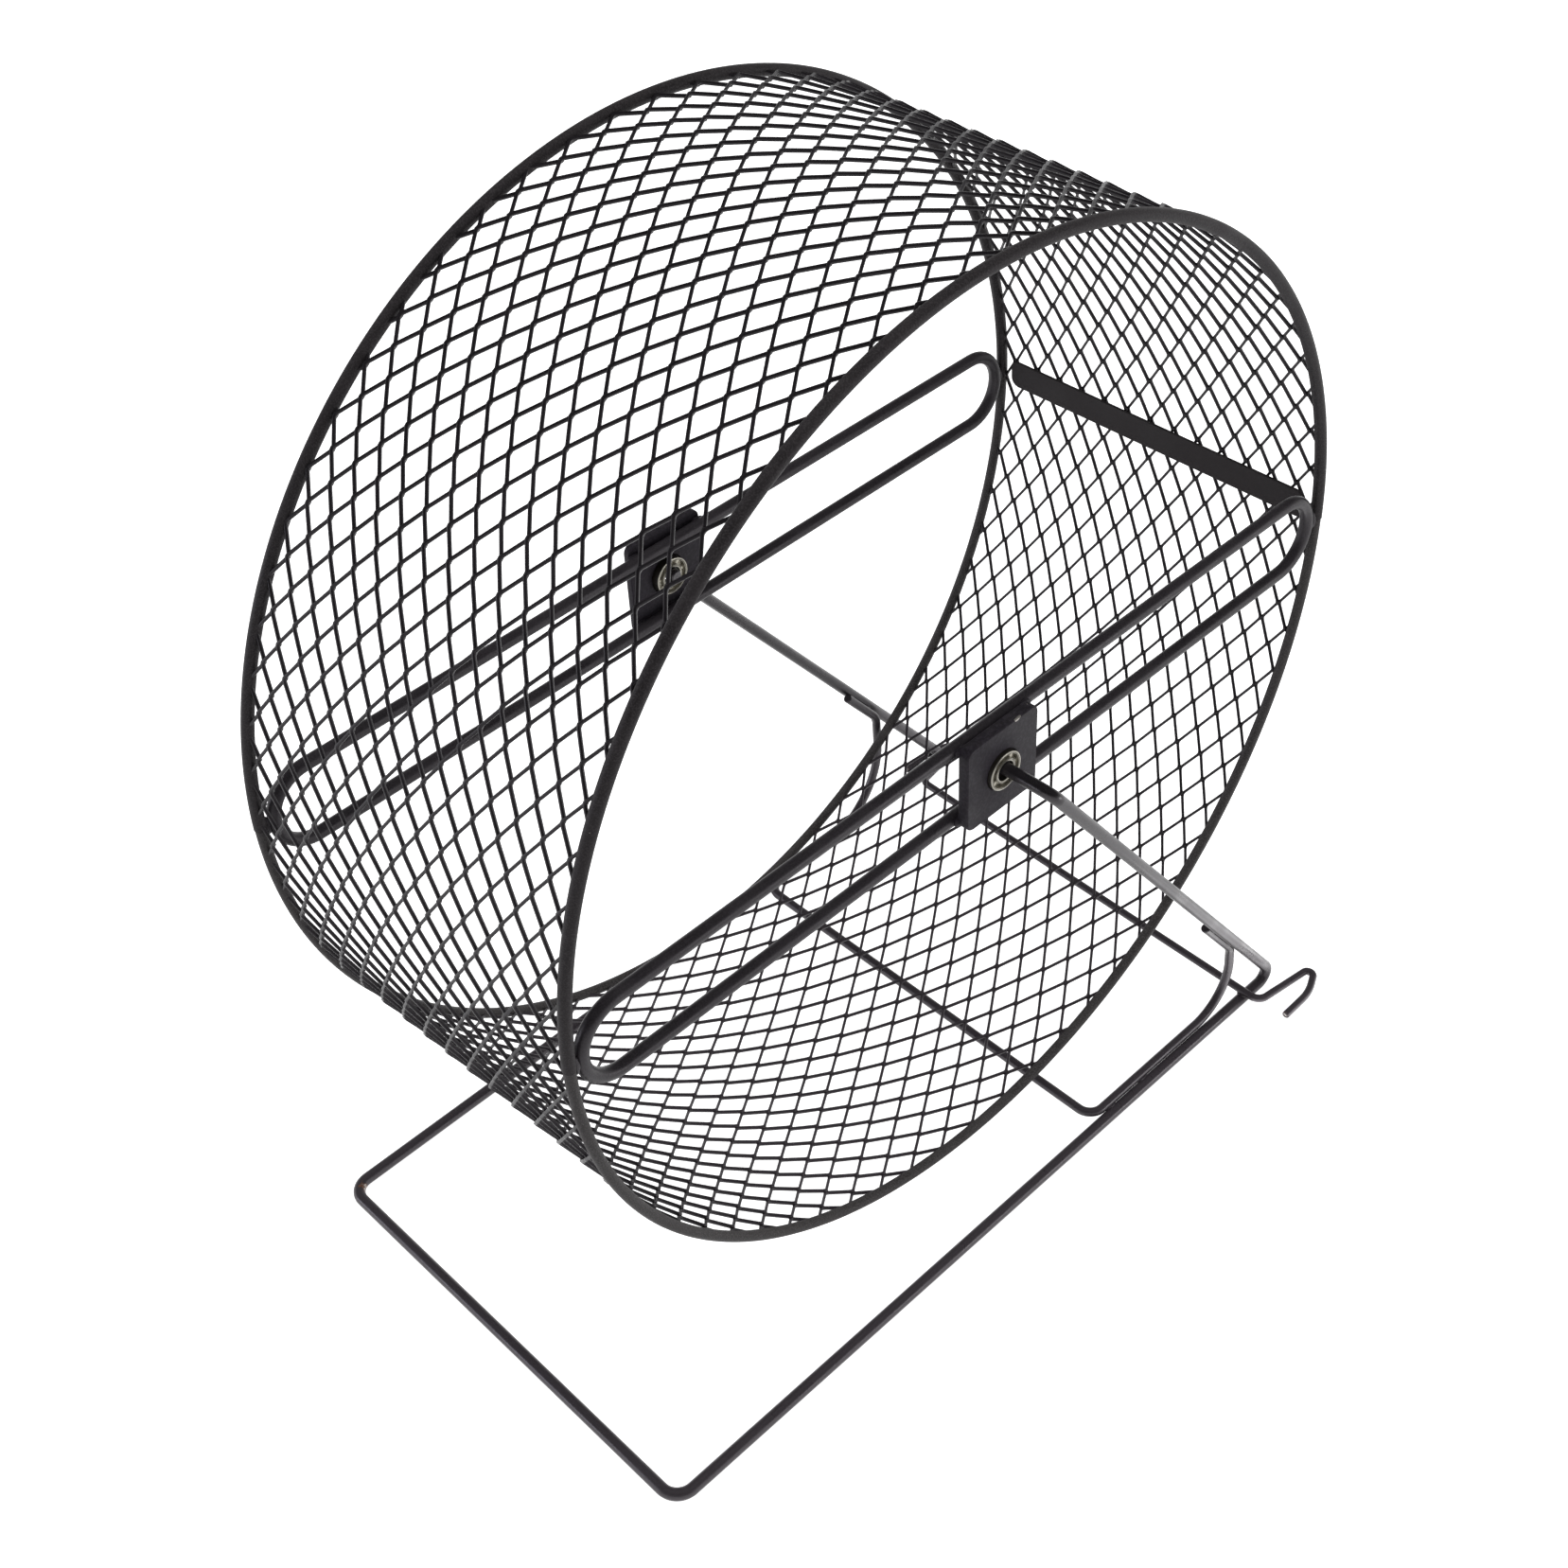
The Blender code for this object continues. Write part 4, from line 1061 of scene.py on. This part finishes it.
def build_plates(context):
    """The plates outside the loops, bored for the bearings, with weld beads on the wires."""
    drum = context.scene.wheel_drum
    for side_name, side in SIDES.items():
        low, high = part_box(f"hub_plate_{side_name}")
        middle = (low + high) / 2
        thick = (high.x - low.x) / 2
        axis = Vector((middle.x, AXLE.y, AXLE.z))
        rise = middle.z - AXLE.z
        bore = context.scene.wheel_bearings.diameter / 2 + GAP
        form = Form()
        loops = []
        for inset, level, wear in PLATE_EDGE:
            long, tall = drum.plate_side - 2 * inset * MM, high.z - low.z - 2 * inset * MM
            corner = max(drum.plate_corner - inset * MM, PLATE_LEAST_CORNER)
            outline = rounded_square(long, tall, corner, PLATE_PARTS)
            marks = [wear] * len(outline)
            if side > 0 and (inset, level, wear) in CHIP_LOOPS:
                from_chip = [hypot(y - CHIP_PLACE, z - tall / 2) for y, z in outline]
                marks[from_chip.index(min(from_chip))] = CHIP_DEPTH
            places = [axis + Vector((side * thick * level, y, z + rise)) for y, z in outline]
            loops.append(form.loop(places, marks))
        turns = [atan2(z + rise, y) for y, z in outline]
        for ease, level, wear in BORE_EDGE:
            loops.append(form.loop(hoop(axis, side * thick * level, bore + ease * MM, turns), wear))
        form.skin(loops, closed=True)
        inner_face = middle.x - side * thick
        for seed, (y, z) in enumerate(((1, 1), (-1, 1), (-1, -1), (1, -1))):
            aside = axis.y + y * PLATE_WELD_REACH
            centre = Vector((inner_face - side * PLATE_WELD_IN, aside, axis.z + z * drum.loop_spread / 2))
            lump(form, centre, Vector((0, 1, 0)), Vector((1, 0, 0)), PLATE_WELD, SEEDS["plate"] + seed + side)
        finish = powder_coat(
            f"Plate coat {side_name}", "plate_coat",
            roughness=0.6, peel=1100.0, dust=0.15, edges=0.25, specks=0.15, gloss_level=0.2, mottle=0.6,
        )
        name = f"bored_hub_plate_{side_name}"
        form.build(name, finish, "wheel", [f"hub_plate_{side_name}"])


# Bearings

# The race as degrees round the ball, and how dark each point of a ring's profile is painted: a little oil in
# the race, and painted shade on the plain cylindrical face (the outer ring's outside, the inner ring's bore)
# and in the groove's bottom
RACE_DEGREES = (35, 21, 7, -7, -21, -35)
RING_OIL_AND_SHADE = (0.0, 0.15, 1.0, 1.0, 0.15, 0.0, 0.0, 0.85, 0.0, 0.1, 0.2, 0.1, 0.2, 0.25, 0.25, 0.2, 0.1, 0.2, 0.1)
# The middle of a chamfer, as a share of it
CHAMFER_MIDDLE = 0.3
# The fine groove in a ring's right face: its place as shares of chamfer and wall, and its depth
GROOVE_PLACE = (0.35, 0.55)
GROOVE_DEPTH = 0.12 * MM
SHOULDER_EDGE = 0.1 * MM
# Between a ball and its pocket
POCKET_GAP = 0.05 * MM
# Half the gap between the two ribbons
RIBBON_GAP = 0.02 * MM
RIVET_HEAD = (0.12 * MM, 0.24 * MM, 0.24 * MM)


def bearing_place(side_name):
    """The middle of a bearing on the axle."""
    low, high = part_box(f"bearing_outer_ring_{side_name}")
    return Vector(((low.x + high.x) / 2, AXLE.y, AXLE.z))


def build_rings(context):
    """Outer and inner rings, with chamfers, races and a fine groove in the right face."""
    sizes = context.scene.wheel_bearings
    half = sizes.width / 2
    ball = sizes.ball / 2
    pitch = (sizes.bore + sizes.diameter) / 4
    ease = sizes.chamfer
    for side_name in SIDES:
        for kind, rim, way, body in (
            ("outer", sizes.diameter / 2, -1, "wheel"),
            ("inner", sizes.bore / 2, 1, "inner_rings"),
        ):
            shoulder = rim + way * sizes.ring_wall
            groove = rim + way * (GROOVE_PLACE[0] * ease + GROOVE_PLACE[1] * sizes.ring_wall)
            race = [
                (ball * sin(t), pitch - way * (ball + GAP) * cos(t)) for t in (radians(d) for d in RACE_DEGREES)
            ]
            profile = [
                (-half, rim + way * ease),
                (-half + ease * CHAMFER_MIDDLE, rim + way * ease * CHAMFER_MIDDLE),
                (-half + ease, rim),
                (half - ease, rim),
                (half - ease * CHAMFER_MIDDLE, rim + way * ease * CHAMFER_MIDDLE),
                (half, rim + way * ease),
                (half, groove - way * GROOVE_DEPTH),
                (half - GROOVE_DEPTH, groove),
                (half, groove + way * GROOVE_DEPTH),
                (half, shoulder - way * SHOULDER_EDGE),
                (half - SHOULDER_EDGE, shoulder),
                *race,
                (SHOULDER_EDGE - half, shoulder),
                (-half, shoulder - way * SHOULDER_EDGE),
            ]
            form = Form()
            loops = []
            # The values paint the plain cylindrical face and the groove dark as shade, and the race lightly
            # with oil
            for (x, radius), oil_and_shade in zip(profile, RING_OIL_AND_SHADE):
                places = hoop(bearing_place(side_name), x, radius, full_turn(RING_STEPS))
                loops.append(form.loop(places, oil_and_shade))
            form.skin(loops, closed=True)
            finish = bearing_steel(f"{kind.title()} ring steel {side_name}", "steel", metal=0.85)
            name = f"{kind}_race_ring_{side_name}"
            form.build(name, finish, body, [f"bearing_{kind}_ring_{side_name}"], sharp=25)


def build_balls(context):
    """The balls of both bearings."""
    sizes = context.scene.wheel_bearings
    radius = sizes.ball / 2
    for side_name in SIDES:
        finish = bearing_steel(f"Ball steel {side_name}", "steel", roughness=0.12, marks=3000.0)
        for ball in range(sizes.balls):
            node = f"bearing_ball_{side_name}_{ball + 1}"
            low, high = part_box(node)
            centre = (low + high) / 2
            form = Form()
            loops = []
            for step in range(1, BALL_STEPS):
                turn = pi * step / BALL_STEPS
                places = hoop(centre, radius * cos(turn), radius * sin(turn), full_turn(BALL_SIDES))
                loops.append(form.loop(places))
            form.capped(loops)
            name = f"steel_ball_{side_name}_{ball + 1}"
            form.build(name, finish, "ball_train", [node], sharp=60)


def build_cages(context):
    """The ribbon cages: two pressed ribbons that wrap the balls and are riveted between them."""
    sizes = context.scene.wheel_bearings
    pitch = (sizes.bore + sizes.diameter) / 4
    pocket = sizes.ball / 2 + POCKET_GAP
    inner = pitch - sizes.ribbon_width / 2
    outer = pitch + sizes.ribbon_width / 2
    for side_name in SIDES:
        place = bearing_place(side_name)
        form = Form()
        for way in (1, -1):
            loops = []
            for angle in full_turn(sizes.balls * POCKET_STEPS):
                off = ((angle + pi / sizes.balls) % (2 * pi / sizes.balls) - pi / sizes.balls) * pitch
                near = max(sqrt(max(pocket**2 - off**2, 0.0)), RIBBON_GAP)
                far = near + sizes.ribbon
                places = [
                    place + Vector((way * x, -radius * cos(angle), radius * sin(angle)))
                    for x, radius in ((near, inner), (far, inner), (far, outer), (near, outer))
                ]
                loops.append(form.loop(places))
            form.skin(loops, closed=True)
            for rivet in range(sizes.balls):
                angle = 2 * pi * (rivet + 0.5) / sizes.balls
                level = way * (sizes.ribbon + RIBBON_GAP)
                head = place + Vector((level, -pitch * cos(angle), pitch * sin(angle)))
                lump(form, head, Vector((way, 0, 0)), Vector((0, 0, 1)), RIVET_HEAD, SEEDS["rivet"])
        finish = bearing_steel(f"Ribbon steel {side_name}", "cage", roughness=0.35, metal=0.5)
        name = f"ribbon_cage_{side_name}"
        form.build(name, finish, "ball_train", [f"bearing_cage_{side_name}"])


# Studio

# The camera's place in millimetres, its turn and its lens, solved from the photograph
CAMERA_PLACE = (351.895, -355.834, 571.061)
CAMERA_RIGHT = (0.70792452, 0.7049527, -0.04341151)
CAMERA_UP = (-0.44698161, 0.4947599, 0.7452651)
CAMERA_LENS = 53.59
CAMERA_SENSOR = 36
WHITE = (1.0, 1.0, 1.0)
DAYLIGHT = (0.86, 0.88, 1.0)
# Name, place, what it is aimed at, size, power, colour, and whether gloss shows it
LIGHTS = (
    ("overhead_softbox", (-0.1, 0.2, 1.6), (0.0, 0.0, 0.15), (1.8, 1.8), 15.0, WHITE, False),
    ("window_softbox", (-1.1, -1.5, 0.35), (0.0, 0.0, 0.1), (1.0, 0.5), 4.4, DAYLIGHT, True),
    ("side_softbox", (1.25, 0.8, 0.2), (0.0, 0.0, 0.05), (0.8, 0.35), 3.4, WHITE, True),
    ("floor_card", (0.1, 0.13, 0.004), (0.1, 0.13, 1.0), (0.05, 0.1), 0.026, WHITE, True),
)
FLOOR_REACH = 6.0
# The wires are rounder than the frame's and reach a little lower
FLOOR_DROP = 0.1 * MM
PAPER = (0.8, 0.8, 0.8, 1)
PAPER_ROUGHNESS = 0.9
# How bright the gloss shows the floor, which the wheel shades
FLOOR_GLOSS = 0.72
# The studio round the wheel, as its gloss shows it: white low down, dark overhead. The skyline is how
# steeply up the change starts and ends, and the fill is what lights the matt surfaces
SKYLINE = (0.04, 0.34)
HORIZON = 1.25
CEILING = 0.06
FILL = 0.35


def build_floor(scene):
    """The pale floor, which the camera sees as white."""
    mesh = bpy.data.meshes.new("studio_floor")
    corners = [(x * FLOOR_REACH, y * FLOOR_REACH, 0) for x, y in ((-1, -1), (1, -1), (1, 1), (-1, 1))]
    mesh.from_pydata(corners, [], [(0, 1, 2, 3)])
    floor = bpy.data.objects.new("studio_floor", mesh)
    scene.collection.objects.link(floor)
    floor.location.z = -FLOOR_DROP
    made, tree, shader, place = new_finish("Pale paper")
    shader.inputs["Base Color"].default_value = PAPER
    shader.inputs["Roughness"].default_value = PAPER_ROUGHNESS
    shader.inputs["Specular IOR Level"].default_value = 0.0
    rays = tree.nodes.new("ShaderNodeLightPath")
    mirrored = sums(tree, "MULTIPLY", rays.outputs["Is Glossy Ray"], FLOOR_GLOSS)
    seen = sums(tree, "MAXIMUM", rays.outputs["Is Camera Ray"], mirrored)
    seen = sums(tree, "MAXIMUM", seen, rays.outputs["Is Transmission Ray"])
    glow = tree.nodes.new("ShaderNodeEmission")
    tree.links.new(seen, glow.inputs["Strength"])
    both = tree.nodes.new("ShaderNodeAddShader")
    tree.links.new(shader.outputs[0], both.inputs[0])
    tree.links.new(glow.outputs[0], both.inputs[1])
    tree.links.new(both.outputs[0], tree.nodes["Material Output"].inputs["Surface"])
    mesh.materials.append(made)


def build_surroundings(scene):
    """The white studio round the wheel, as the camera, the gloss and the matt surfaces get it."""
    world = bpy.data.worlds.new("White studio")
    scene.world = world
    world.use_nodes = True
    tree = world.node_tree
    rays = tree.nodes.new("ShaderNodeLightPath")
    way = parts_of(tree, tree.nodes.new("ShaderNodeTexCoord").outputs["Generated"])
    studio = spread(tree, way["Z"], *SKYLINE, HORIZON - FILL, CEILING - FILL)
    mirrored = sums(tree, "MULTIPLY_ADD", rays.outputs["Is Glossy Ray"], studio, FILL)
    seen = sums(tree, "MAXIMUM", rays.outputs["Is Camera Ray"], rays.outputs["Is Transmission Ray"])
    back = tree.nodes["Background"]
    back.inputs["Color"].default_value = (*WHITE, 1)
    tree.links.new(sums(tree, "MAXIMUM", seen, mirrored), back.inputs["Strength"])


def build_stage(context):
    """The pale floor, the white surroundings, the soft lights and the camera."""
    scene = context.scene
    scene.view_settings.view_transform = "Standard"
    build_floor(scene)
    build_surroundings(scene)
    for name, spot, target, size, power, tint, in_gloss in LIGHTS:
        lamp = bpy.data.lights.new(name, "AREA")
        lamp.shape = "RECTANGLE"
        lamp.size, lamp.size_y = size
        lamp.energy = power
        lamp.color = tint
        holder = bpy.data.objects.new(name, lamp)
        holder.location = spot
        holder.visible_camera = False
        holder.visible_glossy = in_gloss
        holder.rotation_euler = (Vector(target) - Vector(spot)).to_track_quat("-Z", "Y").to_euler()
        scene.collection.objects.link(holder)
    lens = bpy.data.cameras.new("photo_camera")
    lens.lens = CAMERA_LENS
    lens.sensor_width = CAMERA_SENSOR
    camera = bpy.data.objects.new("photo_camera", lens)
    right, up = Vector(CAMERA_RIGHT), Vector(CAMERA_UP)
    turned = Matrix((right, up, right.cross(up))).transposed()
    camera.matrix_world = Matrix.Translation(Vector(CAMERA_PLACE) * MM) @ turned.to_4x4()
    scene.collection.objects.link(camera)
    scene.camera = camera


def piece_operator(key, label, doc, work):
    """An operator that builds one piece, or one group of like pieces."""

    def execute(self, context):
        work(context)
        return {"FINISHED"}

    members = {
        "__doc__": doc,
        "bl_idname": "wheel." + key,
        "bl_label": label,
        "bl_options": {"REGISTER", "UNDO"},
        "execute": execute,
    }
    return type("WHEEL_OT_" + key, (Operator,), members)


OPERATORS = [piece_operator(*piece) for piece in (
    ("stand", "Stand wire", "Builds the bent wire that stands on the floor and carries the drum", build_stand),
    ("brace", "Brace", "Builds the thin wire that ties uprights and base wires together", build_brace),
    ("hooks", "Cage hooks", "Builds the thin wire that ends in two hooks for a cage", build_hooks),
    ("mesh", "Running mesh", "Builds the band of expanded metal that the animal runs on", build_mesh),
    ("rims", "Rim beads", "Builds the four beads round the mesh's edges", build_rims),
    ("strip", "Seam strip", "Builds the strip that covers the joint of the mesh", build_strip),
    ("loops", "Spoke loops", "Builds the wire loop across each side of the drum", build_loops),
    ("plates", "Hub plates", "Builds the bored plates that hold the bearings", build_plates),
    ("rings", "Bearing rings", "Builds the outer and inner rings of both bearings", build_rings),
    ("balls", "Bearing balls", "Builds the balls of both bearings", build_balls),
    ("cages", "Ribbon cages", "Builds the riveted ribbon cages of both bearings", build_cages),
    ("stage", "Studio", "Builds the floor, the surroundings, the soft lights and the camera", build_stage),
)]


class WHEEL_PT_sidebar(Panel):
    """Lists the pieces of the wheel, with their sizes and colours."""

    bl_label = "Hamster wheel"
    bl_idname = "WHEEL_PT_sidebar"
    bl_space_type = "VIEW_3D"
    bl_region_type = "UI"
    bl_category = "Hamster wheel"

    def draw(self, context):
        for operator in OPERATORS:
            self.layout.operator(operator.bl_idname)
        for key, group in GROUPS.items():
            box = self.layout.box()
            for field in group.__annotations__:
                box.prop(getattr(context.scene, key), field)


def register():
    for key, group in GROUPS.items():
        bpy.utils.register_class(group)
        setattr(bpy.types.Scene, key, PointerProperty(type=group))
    for operator in OPERATORS:
        bpy.utils.register_class(operator)
    bpy.utils.register_class(WHEEL_PT_sidebar)


def unregister():
    bpy.utils.unregister_class(WHEEL_PT_sidebar)
    for operator in reversed(OPERATORS):
        bpy.utils.unregister_class(operator)
    for key, group in reversed(GROUPS.items()):
        delattr(bpy.types.Scene, key)
        bpy.utils.unregister_class(group)


def main():
    """Builds everything in order, and writes the two boxes that the sizes are compared by."""
    register()
    for operator in OPERATORS:
        getattr(bpy.ops.wheel, operator.bl_idname.split(".")[1])()


if __name__ == "__main__":
    main()
